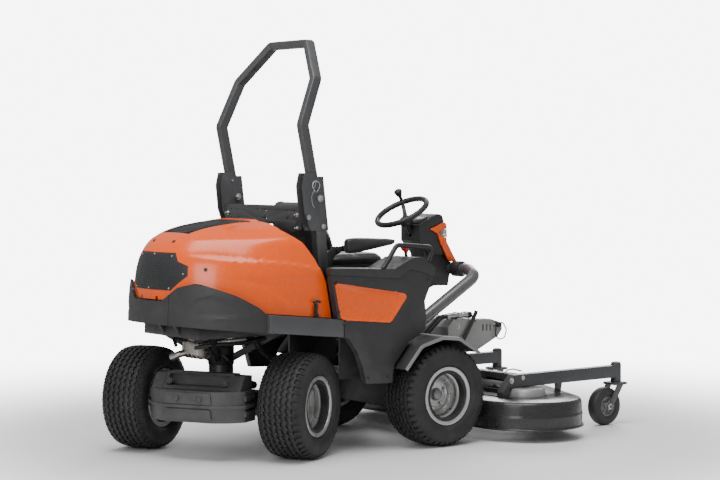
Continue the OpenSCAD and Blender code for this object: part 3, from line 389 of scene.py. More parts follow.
# finishes
def finish(name, colour, roughness, metallic=0.0, mottle=0.12, mottleScale=5.0, grain=600.0, depth=0.12,
           cells=False, stretch=(1, 1, 1), roughSpread=0.08, dust=None, dustLow=0.55, dustScale=3.0, coat=0.0,
           coatRough=0.1, sheen=0.0, specular=0.5, marks=0.0):
    mat = bpy.data.materials.new(name)
    mat.use_nodes = True
    tree = mat.node_tree
    add, link = tree.nodes.new, tree.links.new
    shader = tree.nodes["Principled BSDF"]
    shader.inputs["Metallic"].default_value = metallic
    shader.inputs["Specular IOR Level"].default_value = specular
    shader.inputs["Coat Weight"].default_value = coat
    shader.inputs["Coat Roughness"].default_value = coatRough
    shader.inputs["Sheen Weight"].default_value = sheen
    place, turn = add("ShaderNodeTexCoord"), add("ShaderNodeMapping")
    turn.inputs["Scale"].default_value = stretch
    link(place.outputs["Object"], turn.inputs["Vector"])
    broad = add("ShaderNodeTexNoise")
    broad.inputs["Scale"].default_value = mottleScale
    broad.inputs["Detail"].default_value = 6
    link(turn.outputs[0], broad.inputs["Vector"])
    ramp = add("ShaderNodeValToRGB")
    ramp.color_ramp.elements[0].position, ramp.color_ramp.elements[1].position = 0.3, 0.7
    ramp.color_ramp.elements[0].color = [c * (1 - mottle) for c in colour] + [1]
    ramp.color_ramp.elements[1].color = [min(1, c * (1 + mottle)) for c in colour] + [1]
    link(broad.outputs["Fac"], ramp.inputs["Fac"])
    out = ramp.outputs["Color"]
    if dust:                 # a thin film of another colour in soft patches
        film, mask, mix = add("ShaderNodeTexNoise"), add("ShaderNodeMapRange"), add("ShaderNodeMix")
        film.inputs["Scale"].default_value, film.inputs["Detail"].default_value = dustScale, 8
        mask.inputs["From Min"].default_value, mask.inputs["From Max"].default_value = dustLow, dustLow + 0.25
        mask.inputs["To Max"].default_value = 0.6
        mix.data_type = "RGBA"
        mix.inputs[7].default_value = (*dust, 1)
        link(place.outputs["Object"], film.inputs["Vector"])
        link(film.outputs["Fac"], mask.inputs["Value"])
        link(mask.outputs[0], mix.inputs[0])
        link(out, mix.inputs[6])
        out = mix.outputs[2]
    link(out, shader.inputs["Base Color"])
    rough, level = add("ShaderNodeTexNoise"), add("ShaderNodeMapRange")
    rough.inputs["Scale"].default_value, rough.inputs["Detail"].default_value = 22, 4
    level.inputs["From Min"].default_value, level.inputs["From Max"].default_value = 0.3, 0.7
    level.inputs["To Min"].default_value = max(0.02, roughness - roughSpread)
    level.inputs["To Max"].default_value = min(1, roughness + roughSpread)
    link(turn.outputs[0], rough.inputs["Vector"])
    link(rough.outputs["Fac"], level.inputs["Value"])
    link(level.outputs[0], shader.inputs["Roughness"])
    fine = add("ShaderNodeTexVoronoi" if cells else "ShaderNodeTexNoise")
    fine.inputs["Scale"].default_value = grain
    link(turn.outputs[0], fine.inputs["Vector"])
    bump = add("ShaderNodeBump")
    bump.inputs["Strength"].default_value = depth
    bump.inputs["Distance"].default_value = 0.0008
    link(fine.outputs["Distance" if cells else "Fac"], bump.inputs["Height"])
    last = bump
    if marks:                # shallow dents of a casting or a moulding
        dents, low = add("ShaderNodeTexNoise"), add("ShaderNodeBump")
        dents.inputs["Scale"].default_value = 45
        low.inputs["Strength"].default_value, low.inputs["Distance"].default_value = marks, 0.003
        link(place.outputs["Object"], dents.inputs["Vector"])
        link(dents.outputs["Fac"], low.inputs["Height"])
        link(bump.outputs[0], low.inputs["Normal"])
        last = low
    link(last.outputs[0], shader.inputs["Normal"])
    return mat


dustTone = (0.20, 0.18, 0.15)
paint = {
    "orange": finish("glossOrange", (0.86, 0.095, 0.0), 0.26, mottle=0.05, mottleScale=2.5, grain=900,
                     depth=0.03, roughSpread=0.03, coat=0.3, coatRough=0.08),
    "dark_trim": finish("grainedTrim", (0.024, 0.024, 0.026), 0.5, grain=1400, depth=0.3, mottle=0.14,
                        cells=True, roughSpread=0.06, dust=(0.09, 0.088, 0.085), dustLow=0.58),
    "black_plastic": finish("blackMoulding", (0.018, 0.018, 0.019), 0.42, grain=1200, depth=0.25, cells=True),
    "black_rubber": finish("softRubber", (0.016, 0.016, 0.016), 0.6, grain=700, depth=0.3,
                           dust=(0.05, 0.047, 0.044)),
    "grey_paint": finish("powderCoat", (0.072, 0.074, 0.077), 0.36, metallic=0.25, grain=1800, depth=0.16,
                         mottle=0.1, dust=(0.1, 0.097, 0.09), dustLow=0.62),
    "black_paint": finish("blackCoat", (0.022, 0.022, 0.023), 0.4, metallic=0.15, grain=1500, depth=0.2,
                          dust=(0.075, 0.07, 0.062), dustLow=0.56),
    "pipe_paint": finish("metallicGrey", (0.17, 0.17, 0.172), 0.3, metallic=0.6, grain=2200, depth=0.08,
                         mottle=0.08),
    "light_paint": finish("lightGreyPaint", (0.33, 0.33, 0.325), 0.4, metallic=0.35, grain=1600, depth=0.15,
                          mottle=0.1, dust=dustTone, dustLow=0.66),
    "casting": finish("roughCasting", (0.070, 0.070, 0.072), 0.52, metallic=0.3, grain=500, depth=0.6,
                      mottle=0.16, mottleScale=12, marks=0.25, dust=(0.07, 0.066, 0.06)),
    "engine_metal": finish("dieCast", (0.20, 0.20, 0.20), 0.45, metallic=0.7, grain=420, depth=0.5,
                           mottle=0.3, mottleScale=14, marks=0.3, dust=(0.045, 0.04, 0.035), dustLow=0.48,
                           dustScale=14),
    "silver_paint": finish("silverRim", (0.50, 0.50, 0.495), 0.33, metallic=0.72, grain=1500, depth=0.1,
                           mottle=0.08, dust=(0.28, 0.26, 0.23), dustLow=0.66, dustScale=9),
    "bare_steel": finish("zincPlate", (0.56, 0.56, 0.54), 0.28, metallic=1.0, grain=300, depth=0.1,
                         mottle=0.12, mottleScale=30, roughSpread=0.12, stretch=(1, 1, 6)),
    "fan_plastic": finish("fanMoulding", (0.05, 0.05, 0.05), 0.5, grain=900, depth=0.2),
    "tyre": finish("tyreRubber", (0.022, 0.022, 0.0225), 0.62, grain=500, depth=0.35, mottle=0.2,
                   mottleScale=9, dust=(0.055, 0.052, 0.047), dustLow=0.55, dustScale=7, specular=0.4),
    "caster_tyre": finish("casterRubber", (0.024, 0.024, 0.025), 0.55, grain=600, depth=0.3,
                          dust=(0.06, 0.056, 0.05)),
    "seat_cover": finish("grainedVinyl", (0.020, 0.020, 0.021), 0.45, grain=520, depth=0.55, cells=True,
                         sheen=0.15, mottle=0.15),
    "red_knob": finish("redMoulding", (0.62, 0.012, 0.012), 0.35, grain=900, depth=0.12, mottle=0.06,
                       coat=0.2),
    "meshPanel": finish("perforatedPanel", (0.034, 0.035, 0.037), 0.42, metallic=0.25, grain=1500,
                        depth=0.15),
    "deckCoat": finish("deckCoat", (0.028, 0.028, 0.029), 0.3, metallic=0.2, grain=1600, depth=0.15,
                       mottle=0.1, dust=(0.06, 0.057, 0.05), dustLow=0.66, coat=0.2),
    # near black: painted shade inside the perforation holes, and the dark joints of the panel seams
    "holeShadeAndSeams": finish("holeShadeAndSeams", (0.006, 0.006, 0.006), 0.8, grain=400, depth=0.1),
    "fenderLip": finish("rolledLip", (0.22, 0.22, 0.22), 0.4, metallic=0.2, grain=1200, depth=0.2),
    "capGrey": finish("hubCapGrey", (0.22, 0.225, 0.225), 0.35, metallic=0.3, grain=900, depth=0.1),
    "glassDark": finish("displayGlass", (0.010, 0.011, 0.012), 0.3, grain=60, depth=0.02, specular=0.25),
    "reflector": finish("reflectorChrome", (0.75, 0.76, 0.78), 0.14, metallic=1.0, grain=120, depth=0.06,
                        mottle=0.05),
    "hotSteel": finish("heatedSteel", (0.42, 0.40, 0.37), 0.32, metallic=0.95, grain=700, depth=0.2,
                       mottle=0.25, mottleScale=16, roughSpread=0.14),
}


def clearLens():
    mat = finish("clearLens", (0.93, 0.95, 0.97), 0.06, mottle=0.02, grain=200, depth=0.05, roughSpread=0.02)
    shader = mat.node_tree.nodes["Principled BSDF"]
    shader.inputs["Transmission Weight"].default_value = 0.85
    shader.inputs["IOR"].default_value = 1.46
    return mat


paint["lamp_lens"] = clearLens()

for part in frame["record"]["subparts"]:          # every node that stays takes its slot's finish
    obj = nodes[part["node"]]
    obj.data.materials.clear()
    obj.data.materials.append(paint[part["material_slot"]])
print("finishes made")


# floor, light, camera
studio = {"floorHalf": 40, "world": 0.42, "seen": 7, "fadeFrom": 1.5, "fadeTo": 4.5, "key": 270, "fill": 95,
          "back": 170}
floor = newObject("floor", meshFrom("floor", [([(-studio["floorHalf"] * 1e3, -studio["floorHalf"] * 1e3, 0),
                                                (studio["floorHalf"] * 1e3, -studio["floorHalf"] * 1e3, 0),
                                                (studio["floorHalf"] * 1e3, studio["floorHalf"] * 1e3, 0),
                                                (-studio["floorHalf"] * 1e3, studio["floorHalf"] * 1e3, 0)],
                                               [[0, 1, 2, 3]])], turn=False))
floorFinish = finish("paleFloor", (0.86, 0.86, 0.86), 0.6, grain=90, depth=0.02, mottle=0.01, mottleScale=0.6)
floor.data.materials.append(floorFinish)


def fadeToBackground(mat):                     # far floor turns into the backdrop, for the camera alone
    tree = mat.node_tree
    add, link = tree.nodes.new, tree.links.new
    out = next(n for n in tree.nodes if n.type == "OUTPUT_MATERIAL")
    surface = out.inputs["Surface"].links[0].from_socket
    coords, reach, fade = add("ShaderNodeTexCoord"), add("ShaderNodeVectorMath"), add("ShaderNodeMapRange")
    rays, both, glow, mix = (add("ShaderNodeLightPath"), add("ShaderNodeMath"), add("ShaderNodeEmission"),
                             add("ShaderNodeMixShader"))
    reach.operation, both.operation, fade.interpolation_type = "LENGTH", "MULTIPLY", "SMOOTHSTEP"
    fade.inputs["From Min"].default_value = studio["fadeFrom"]
    fade.inputs["From Max"].default_value = studio["fadeTo"]
    glow.inputs["Strength"].default_value = studio["seen"]
    link(coords.outputs["Object"], reach.inputs[0])
    link(reach.outputs["Value"], fade.inputs["Value"])
    link(fade.outputs["Result"], both.inputs[0])
    link(rays.outputs["Is Camera Ray"], both.inputs[1])
    link(both.outputs["Value"], mix.inputs[0])
    link(surface, mix.inputs[1])
    link(glow.outputs["Emission"], mix.inputs[2])
    link(mix.outputs["Shader"], out.inputs["Surface"])


fadeToBackground(floorFinish)
world = bpy.data.worlds.new("studio")
bpy.context.scene.world = world
world.use_nodes = True
backdrop = world.node_tree.nodes["Background"]
backdrop.inputs[0].default_value = (1, 1, 1, 1)
seenRay = world.node_tree.nodes.new("ShaderNodeLightPath")
strength = world.node_tree.nodes.new("ShaderNodeMapRange")
strength.inputs["To Min"].default_value = studio["world"]
strength.inputs["To Max"].default_value = studio["seen"]
world.node_tree.links.new(seenRay.outputs["Is Camera Ray"], strength.inputs["Value"])
world.node_tree.links.new(strength.outputs["Result"], backdrop.inputs["Strength"])


def softbox(name, place, target, size, power):
    light = bpy.data.lights.new(name, "AREA")
    light.shape, light.size, light.size_y, light.energy = "RECTANGLE", size[0], size[1], power
    obj = bpy.data.objects.new(name, light)
    obj.location = place
    obj.rotation_euler = (Vector(target) - Vector(place)).to_track_quat("-Z", "Y").to_euler()
    bpy.context.scene.collection.objects.link(obj)


softbox("overhead", (-1.5, -1.0, 5.0), (-0.2, 0, 0.6), (4.5, 3.5), studio["key"])
softbox("sideFill", (-5.5, -3.0, 2.6), (-0.3, 0, 0.7), (2.6, 2.6), studio["fill"])
softbox("frontBack", (4.5, 3.5, 3.2), (0, 0, 0.9), (3.5, 2.5), studio["back"])

view = {"place": (-6.0371, -7.5184, 1.4041), "yaw": 0.8989, "pitch": -0.0405, "lens": 93.59}
lens = bpy.data.cameras.new("camera")
lens.lens, lens.sensor_width, lens.clip_end = view["lens"], 36, 200
camera = bpy.data.objects.new("camera", lens)
ahead = Vector((math.cos(view["pitch"]) * math.cos(view["yaw"]),
                math.cos(view["pitch"]) * math.sin(view["yaw"]), math.sin(view["pitch"])))
camera.location = view["place"]
camera.rotation_euler = ahead.to_track_quat("-Z", "Y").to_euler()
bpy.context.scene.collection.objects.link(camera)
bpy.context.scene.camera = camera
print("studio set")


# drive wheels
wheel = {"r": 254, "tread": 44, "steer": 27, "nuts": 4, "frontHalf": 446, "rearHalf": 425, "base": 985}


def treadLug(points, low, high, tip=0.84):    # outline as (along, across); foot and top radius go by across
    n = len(points)
    mx, my = sum(p[0] for p in points) / n, sum(p[1] for p in points) / n
    verts = [(x, y, low(y)) for x, y in points]
    verts += [(x, y, high(y) - 1.2) for x, y in points]
    verts += [(mx + (x - mx) * tip, my + (y - my) * tip, high(my + (y - my) * tip)) for x, y in points]
    faces = [[i, (i + 1) % n, n + (i + 1) % n, n + i] for i in range(n)]
    faces += [[n + i, n + (i + 1) % n, 2 * n + (i + 1) % n, 2 * n + i] for i in range(n)]
    return verts, faces + [list(range(2 * n, 3 * n))]


def crown(y):                                  # outer radius of the tread across the tyre
    return lineAt([(0, 253.4), (40, 253.4), (74, 250.4), (100, 244), (111, 229), (116, 204), (119, 180)],
                  abs(y))


def driveTyre():
    half = [(110.4, 63), (110.4, 97), (148, 97), (154, 107), (162, 112), (178, 117.5), (190, 118.6),
            (206, 117.6), (220, 113.5), (231, 106), (238, 92), (242, 70), (244, 40), (244.5, 0)]
    inside = [(238, 0), (236, 70), (228, 98), (206, 110), (174, 109), (156, 96), (124, 72)]
    outline = half + [(r, -y) for r, y in half[-2::-1]]
    outline += [(r, -y) for r, y in inside[::-1]] + inside[1:] + [half[0]]
    tyre = newObject("tyreBody", meshFrom("tyreBody", [lathe(outline, 112)], 42, Matrix.Identity(4)))
    tyre.data.materials.append(paint["tyre"])
    rows = []
    sBlock = [(-17, -9), (-4, -12), (3, -4), (17, -6), (17, 5), (4, 12), (-3, 4), (-17, 6)]
    for row, y in enumerate((-72, -43, -14.5, 14.5, 43, 72)):
        side = 1 if row % 2 else -1
        rows.append(([(x, y + side * v * 1.08) for x, v in sBlock], (row % 2) * 0.5 + 0.12 * row))
    shoulder = [(-11, 84), (10, 84), (12, 100), (9, 113), (5, 118), (-9, 118), (-14, 108), (-12, 96)]
    rows.append((shoulder, 0.1))
    rows.append(([(x, -y) for x, y in shoulder], 0.6))
    for number, (outline, phase) in enumerate(rows):
        part = treadLug(outline, lambda y: crown(y) - 12, crown, 0.86 if number < 6 else 0.8)
        one = newObject("lug", meshFrom("lug", [part], 30, Matrix.Identity(4)))
        mod = tyre.modifiers.new("row", "NODES")
        mod.node_group = axleTree
        mod[axleKeys["Piece"]] = one
        mod[axleKeys["Copies"]] = wheel["tread"]
        mod[axleKeys["Phase"]] = phase
        mod[axleKeys["Finish"]] = paint["tyre"]
    bake(tyre)
    for obj in [o for o in bpy.data.objects if o.name.startswith("lug")]:
        bpy.data.objects.remove(obj)
    mesh = tyre.data.copy()
    bpy.data.objects.remove(tyre)
    return mesh


def driveRim():
    parts = [lathe([(122, -98), (146, -98), (146.5, -101), (144, -104), (126, -104), (122, -98)], 96),
             lathe([(126, -100), (126, -62), (103, -48), (102, -40), (102, 30), (100, 4), (40, 4), (40, -92),
                    (20, -92), (20, -152), (0, -152)], 72),
             lathe([(0, 10.6), (34, 10.6), (38, 11), (60, 12), (66, 16.5), (80, 16.5), (90, 12.5), (100, 11),
                    (105, 13), (107, 22), (110, 27), (117, 30), (119.5, 36), (120.5, 50), (123, 55),
                    (128, 58), (130.5, 63), (131, 90), (133, 97.5), (140, 98), (145.5, 99.5), (146.3, 102),
                    (144, 104), (134, 104), (128, 101.5), (126.4, 97), (126.4, 66), (123, 61), (112, 58),
                    (106, 54), (104.5, 44)], 96)]
    cap = [lathe([(27, 10), (28.5, 14), (28.5, 24), (26, 29), (18, 33), (8, 34.5), (0, 34.8)], 40),
           lathe([(0, 10), (33, 10), (33, 13), (31, 14.5), (0, 14.5)], 40)]
    bolts = []
    for i in range(wheel["nuts"]):
        a = 2 * math.pi * (i + 0.5) / wheel["nuts"]
        x, z = 52 * math.cos(a), 52 * math.sin(a)
        bolts += [turned(p, aimed((x, 10.5, z), (0, 1, 0))) for p in
                  hexHead(9.5, 9, 12.5) + [lathe([(0, 0), (5.4, 0), (5.4, 14), (4.4, 15), (0, 15)], 14)]]
        bolts.append(turned(lathe([(9, 0), (9, 2.4), (6, 3), (0, 3)], 14),
                            aimed((x * 1.55 * math.cos(0.55) - z * 1.55 *
                     math.sin(0.55), 11.5, x * 1.55 * math.sin(0.55) + z * 1.55 * math.cos(0.55)),
                                  (0, 1, 0))))
    valve = [turned(p, aimed((-99, 14, -50), (-0.12, 1, -0.06))) for p in
             [lathe([(0, -4), (6.5, -4), (6, 2), (4.2, 8), (4, 26), (0, 26)], 14),
              lathe([(0, 25), (5, 25), (5, 33), (4, 35), (0, 35)], 12)]]
    return parts, cap, bolts, valve


tyreMesh = driveTyre()
rimParts, capParts, nutParts, valveParts = driveRim()
bogieTurn = Matrix.Translation((frontAxle - wheel["base"] / 1000, 0, 0)) @ Matrix.Rotation(
    math.radians(wheel["steer"]), 4, "Z")
for end in ("front", "rear"):
    for side in ("left", "right"):
        s = 1 if side == "left" else -1
        half = wheel[end + "Half"] / 1000
        put = Matrix.Translation((0, s * half, wheel["r"] / 1000)) @ Matrix.Rotation(0 if s > 0 else math.pi,
                                                                                     4, "Z")
        put = put @ Matrix.Rotation(math.radians({"front": 18, "rear": 40}[end] * s), 4, "Y")
        put = (Matrix.Translation((frontAxle, 0, 0)) if end == "front" else bogieTurn) @ put
        body = end + "_" + side + "_wheel"
        mesh = tyreMesh.copy()
        mesh.transform(put)
        finishPiece(newObject("tyre_tread_" + end + "_" + side, mesh), body, None,
                    ("tyre_" + end + "_" + side,))
        piece("rim_dish_" + end + "_" + side, rimParts, body, paint["silver_paint"],
              ("rim_" + end + "_" + side,), 30, place=put)
        piece("rim_cap_" + end + "_" + side, capParts, body, paint["capGrey"], place=put)
        piece("rim_nuts_" + end + "_" + side, nutParts, body, paint["bare_steel"], place=put)
        piece("valve_" + end + "_" + side, valveParts, body, paint["black_rubber"], place=put)
print("wheels made")


# hood, its grilles and the lower cover: one loft rule, cut by flat outlines
shell = {"rear": 1398, "half": 452, "base": 655, "high": 487, "wall": 5, "middle": -860, "front": -640,
        "coverRear": 1418, "coverHalf": 499, "coverBase": 560, "coverHigh": 582, "slit": 4}
trimTop = [(-1600, 850), (-1400, 850), (-1336, 850), (-1290, 842), (-1180, 795), (-1085, 738), (-1050, 706),
           (-600, 661)]
trimLow = [(-600, 575), (-1050, 620), (-1250, 638), (-1420, 655), (-1600, 662)]
tailWindow = [(-330, 1400), (-300, 854), (-275, 850), (-205, 830), (-150, 786), (-120, 766), (120, 766),
              (150, 786), (205, 830), (275, 850), (300, 854), (330, 1400)]
frontCut = [(-652, 560), (-652, 665), (-683, 841), (-735, 950), (-790, 1030), (-870, 1090), (-900, 1200),
            (-300, 1200), (-300, 560)]
rearPanel = [(-143, 990), (-172, 950), (-222, 930), (-229, 885), (-153, 815), (153, 815), (229, 885),
             (222, 930), (172, 950), (143, 990)]
topPanel = [(-1245, -112), (-925, -165), (-925, 165), (-1245, 112)]
creaseLine = [(-1400, 986), (-1316, 977), (-1149, 958), (-940, 944), (-774, 919), (-600, 890)]
lowCrease = [(686, -861), (743, -899), (835, -1043), (881, -1231), (900, -1300)]      # (z, x)


def domeGrid(rear, half, base, high, shape=None, stations=84, around=150):
    length = shell["middle"] + rear
    xs = [shell["middle"] - length * math.sin(math.pi / 2 * i / stations) for i in range(stations, -1, -1)]
    xs[0] = -rear + 0.02
    xs += [shell["middle"] + (shell["front"] - shell["middle"]) * i / 14 for i in range(1, 15)]
    points, faces = [], []
    for x in xs:
        t = max(0, (shell["middle"] - x) / length)
        w = half * (1 - t ** 2.2) ** (1 / 2.2)
        h = high * (1 - 0.12 * t) * (1 - t ** 4.7) ** (1 / 4.7)
        p = 4 - 1.2 * t
        for j in range(around + 1):
            a = math.pi * j / around
            c, s = math.cos(a), math.sin(a)
            r = (abs(c) ** p + abs(s) ** p) ** (-1 / p)
            y, z = -w * c * r, base + h * s * r
            if shape:
                y, z = shape(x, y, z, w)
            points.append((x, y, z))
    m = around + 1
    faces = [[i * m + j, (i + 1) * m + j, (i + 1) * m + j + 1, i * m + j + 1]
             for i in range(len(xs) - 1) for j in range(around)]
    return points, faces


def hoodShape(x, y, z, w):                    # shoulder crease, lower crease and a raised top
    side = smoothStep(abs(y) / max(w, 1), 0.55, 0.93)
    line = lineAt(creaseLine, x)
    ledge = 11 * smoothStep(z, line - 3, line + 7) * (1 - smoothStep(z, line + 40, line + 125))
    ledge *= smoothStep(x, -1390, -1190) * (1 - 0.35 * smoothStep(x, -900, -660))
    edge = lineAt(lowCrease, z) if z < 900 else 0
    low = 5 * smoothStep(x, edge - 4, edge + 8) * (1 - smoothStep(z, 840, 890)) if z < 900 else 0
    pinch = (ledge + low) * side
    lift = -7 * smoothStep(abs(y), 150, 175) * smoothStep(z, 1040, 1080) * (1 - smoothStep(abs(y), 330, 420))
    lift *= smoothStep(x, -1330, -1200)
    return y - math.copysign(pinch, y), z + lift


def coverShape(x, y, z, w):                   # arched pocket on each side
    arch = lineAt([(-1405, 690), (-1370, 715), (-1312, 788), (-1272, 795), (-1150, 745), (-1105, 700)], x)
    inside = smoothStep(arch - z, 0, 6) * (1 - smoothStep(x, -1260, -1105)) * smoothStep(z, 690, 706)
    inside *= smoothStep(x, -1378, -1366) * smoothStep(abs(y), 175, 215)
    bead = 2.5 * smoothStep(z, 655, 672) * (1 - smoothStep(z, 676, 690))
    share = max(0.25, 1 - inside * 0.026 - bead / 400)
    return y * share, z


def cutter(part):
    return newObject("cutter", meshFrom("cutter", [part], 30))


def carve(obj, how, *tools):
    for tool in tools:
        mod = obj.modifiers.new("carve", "BOOLEAN")
        mod.operation, mod.object, mod.solver = how, tool, "EXACT"
        bake(obj)


def dropTools():
    for obj in [o for o in bpy.data.objects if o.name.startswith("cutter")]:
        bpy.data.objects.remove(obj)


def thickDome(name, rear, half, base, high, wall, shape=None, inset=0):
    part = domeGrid(rear - inset, half - inset, base, high - inset, shape)
    obj = newObject(name, meshFrom(name, [part], 30, turn=False))
    mod = obj.modifiers.new("wall", "SOLIDIFY")
    mod.thickness, mod.offset = wall / 1000, -1
    return bake(obj)


hood = thickDome("hood_skin", shell["rear"], shell["half"], shell["base"], shell["high"], shell["wall"],
                 hoodShape)
lowCut = prism([(-1700, 500)] + [(-1700, 854)] + [(x, z + shell["slit"]) for x,
                                                  z in trimTop[1:]] + [(-560, 661),
               (-560, 500)], -700, 700)
windowFill = cutter(prism([(y, z + shell["slit"]) for y, z in tailWindow], -1520, -1262, "x"))
lower = cutter(lowCut)
carve(lower, "DIFFERENCE", windowFill)
rearHole, topHole = cutter(prism(rearPanel, -1520, -1150, "x")), cutter(prism(topPanel, 1000, 1250, "z"))
frontOff = cutter(prism(frontCut, -700, 700))
notches = [cutter(block((-1420, min(s * 57, s * 73), 700), (-1381, max(s * 57, s * 73), 786))) for s in (-1,
                                                                                                         1)]
carve(hood, "DIFFERENCE", lower, frontOff, rearHole, topHole, *notches)    # the notches pass the hinge ears
shade(hood.data, 28)
ears = mirrored([prism([(-1388, 774), (-1360, 774), (-1360, 796), (-1386, 803)], 73, 80),
                 turned(lathe([(0, 0), (8, 0), (8, 16), (0, 16)], 20), Matrix.Translation((-1372, 58, 784)))])
finishPiece(hood, "hood", paint["orange"], ("hood_shell",))
piece("hood_hinge_ears", ears, "hood", paint["black_paint"], bevel=0.6)
dropTools()


def shrunk(points, centre, share):
    return [(centre[0] + (p[0] - centre[0]) * share, centre[1] + (p[1] - centre[1]) * share) for p in points]


panels = thickDome("hood_panels", shell["rear"], shell["half"], shell["base"], shell["high"], 4, None, 1.2)
rearFill = cutter(prism(shrunk(rearPanel, (0, 905), 0.995), -1520, -1150, "x"))
topFill = cutter(prism(shrunk(topPanel, (-1085, 0), 0.995), 1000, 1250, "z"))
fill = newObject("cutterBoth", bpy.data.meshes.new("cutterBoth"))
bm = bmesh.new()
bm.from_mesh(rearFill.data)
bm.from_mesh(topFill.data)
bm.to_mesh(fill.data)
bm.free()
carve(panels, "INTERSECT", fill)
shade(panels.data, 28)
finishPiece(panels, "hood", paint["meshPanel"], ("hood_grilles",))
dropTools()

cover = thickDome("lower_cover", shell["coverRear"], shell["coverHalf"], shell["coverBase"],
                  shell["coverHigh"], 6, coverShape)
band = cutter(prism([(-1700, 850)] + trimTop[1:-1] + [(-1050, 620)] + trimLow[2:-1] + [(-1700, 662)], -700,
                    700))
carve(band, "DIFFERENCE", cutter(prism(tailWindow, -1520, -1260, "x")))
carve(cover, "INTERSECT", band)
for y in (-165, 165):                       # seams beside the tail
    carve(cover, "DIFFERENCE", cutter(block((-1500, y - 1.3, 600), (-1290, y + 1.3, 900))))
dropTools()
shade(cover.data, 30)
finishPiece(cover, "chassis", paint["dark_trim"], ("rear_bumper",))


def tailPlace(y, z):               # x of the hood's tail at a given y and z
    best = None
    for i in range(400):
        t = 1 - (i / 400) ** 2 * 0.9
        w = shell["half"] * (1 - min(t, 0.99999) ** 2.2) ** (1 / 2.2)
        h = shell["high"] * (1 - 0.12 * t) * (1 - min(t, 0.99999) ** 4.7) ** (1 / 4.7)
        p = 4 - 1.2 * t
        if (abs(y) / max(w, 1)) ** p + (abs(z - shell["base"]) / max(h, 1)) ** p <= 1:
            best = shell["middle"] - (shell["rear"] + shell["middle"]) * t
            break
    return best


def tailSpot(y, z, out):
    x = tailPlace(y, z)
    dy = Vector((tailPlace(y + 6, z) - tailPlace(y - 6, z), 12, 0))
    dz = Vector((tailPlace(y, z + 6) - tailPlace(y, z - 6), 0, 12))
    n = dy.cross(dz).normalized()
    if n.x > 0:
        n = -n
    return Vector((x, y, z)) + n * out, n


def insidePolygon(p, poly):
    hit = False
    for (x0, y0), (x1, y1) in zip(poly, poly[1:] + poly[:1]):
        if (y0 > p[1]) != (y1 > p[1]) and p[0] < (x1 - x0) * (p[1] - y0) / (y1 - y0) + x0:
            hit = not hit
    return hit


# dark discs on the rear grille panel: painted shade where its perforations show the dark space behind
holes = []
pitch = 11.0
for row in range(20):
    for col in range(-22, 23):
        p = ((col + 0.5 * (row % 2)) * pitch, 823 + row * pitch * 0.87)
        if insidePolygon(p, shrunk(rearPanel, (0, 905), 0.93)):
            holes.append(tailSpot(p[0], p[1], -1.0))
finishPiece(scattered("hood_panel_holes", holes, [lathe([(0, 0), (2.3, 0), (2.3, 0.35), (0, 0.35)], 8)],
                      paint["holeShadeAndSeams"]), "hood")
screws = [tailSpot(y, z, -0.8) for y, z in ((-205, 893), (205, 893), (-128, 975), (128, 975), (-140, 824),
                                              (140, 824), (0, 824), (0, 982))]
screwHead = [lathe([(0, -2), (4.4, -2), (4.4, 1.2), (3.4, 2.4), (1.6, 2.6), (1.4, 1.2), (0, 1.2)], 14)]
finishPiece(scattered("hood_panel_screws", screws, screwHead, paint["bare_steel"]), "hood")
knobs = [tailSpot(y, z, -0.5) for y, z in ((-85, 1040), (85, 1040), (-290, 915), (290, 915))]
knobHead = [lathe([(0, -3), (9.5, -3), (9.5, 1.5), (8, 3.2), (4.2, 3.4), (3.6, 1.2), (0, 1.2)], 20)]
finishPiece(scattered("hood_screws", knobs, knobHead, paint["black_plastic"]), "hood")
slats = []
for i in range(17):
    x = -1232 + i * 18.5
    half = 104 + (x + 1245) / 320 * 50
    t = max(0, (shell["middle"] - x) / (shell["rear"] + shell["middle"]))
    top = shell["base"] + shell["high"] * (1 - 0.12 * t) * (1 - t ** 4.7) ** (1 / 4.7) - 1.6
    drop = [top + (-(abs(y) / 452) ** 4) * 120 for y in (0, half)]
    slats.append(sweep([(x, -half, drop[1]), (x, -half / 2, drop[0]), (x, half / 2, drop[0]),
                        (x, half, drop[1])],
                       [(-4, -1), (4, -1), (2.5, 1.4), (-2.5, 1.4)], first=(1, 0, 0)))
piece("hood_top_slats", slats, "hood", paint["dark_trim"], bevel=0.4)
print("hood made")


# side panels, their orange inserts, and the caps above them
for node, width, slot in (("console_panels", 3.5, "dark_trim"), ("console_caps", 3.0, "dark_trim"),
                          ("side_beam_covers", 3.0, "grey_paint")):
    roundedNode(node, width, 3, "chassis", slot)
insertEdge = [(-676, 842), (-240, 773), (-226, 765), (-226, 750), (-318, 640), (-334, 632), (-604, 657),
              (-638, 669)]


def insertPlate():                          # shallow dished plate with rounded corners
    outline = [Vector((p[0], 0, p[1])) for p in shrunk(insertEdge, (-450, 735), 0.992)]
    closed = roundedLine([(outline[0] + outline[1]) / 2] + outline[1:] + [outline[0],
                                                                          (outline[0] + outline[1]) / 2],
                         16, 6)[:-1]
    ring = [(p.x, p.z) for p in closed]
    levels = [(1.0, 474), (1.0, 499), (0.994, 501.6), (0.985, 502), (0.945, 501.2), (0.915, 497.8),
              (0.895, 496.8), (0.5, 497.6)]
    points = []
    n = len(ring)
    for share, y in levels:
        points += [(p[0], -y, p[1]) for p in shrunk(ring, (-450, 735), share)]
    faces = bandFaces(len(levels), n)
    return points, faces + [list(range(n)), [(len(levels) - 1) * n + j for j in range(n)]]


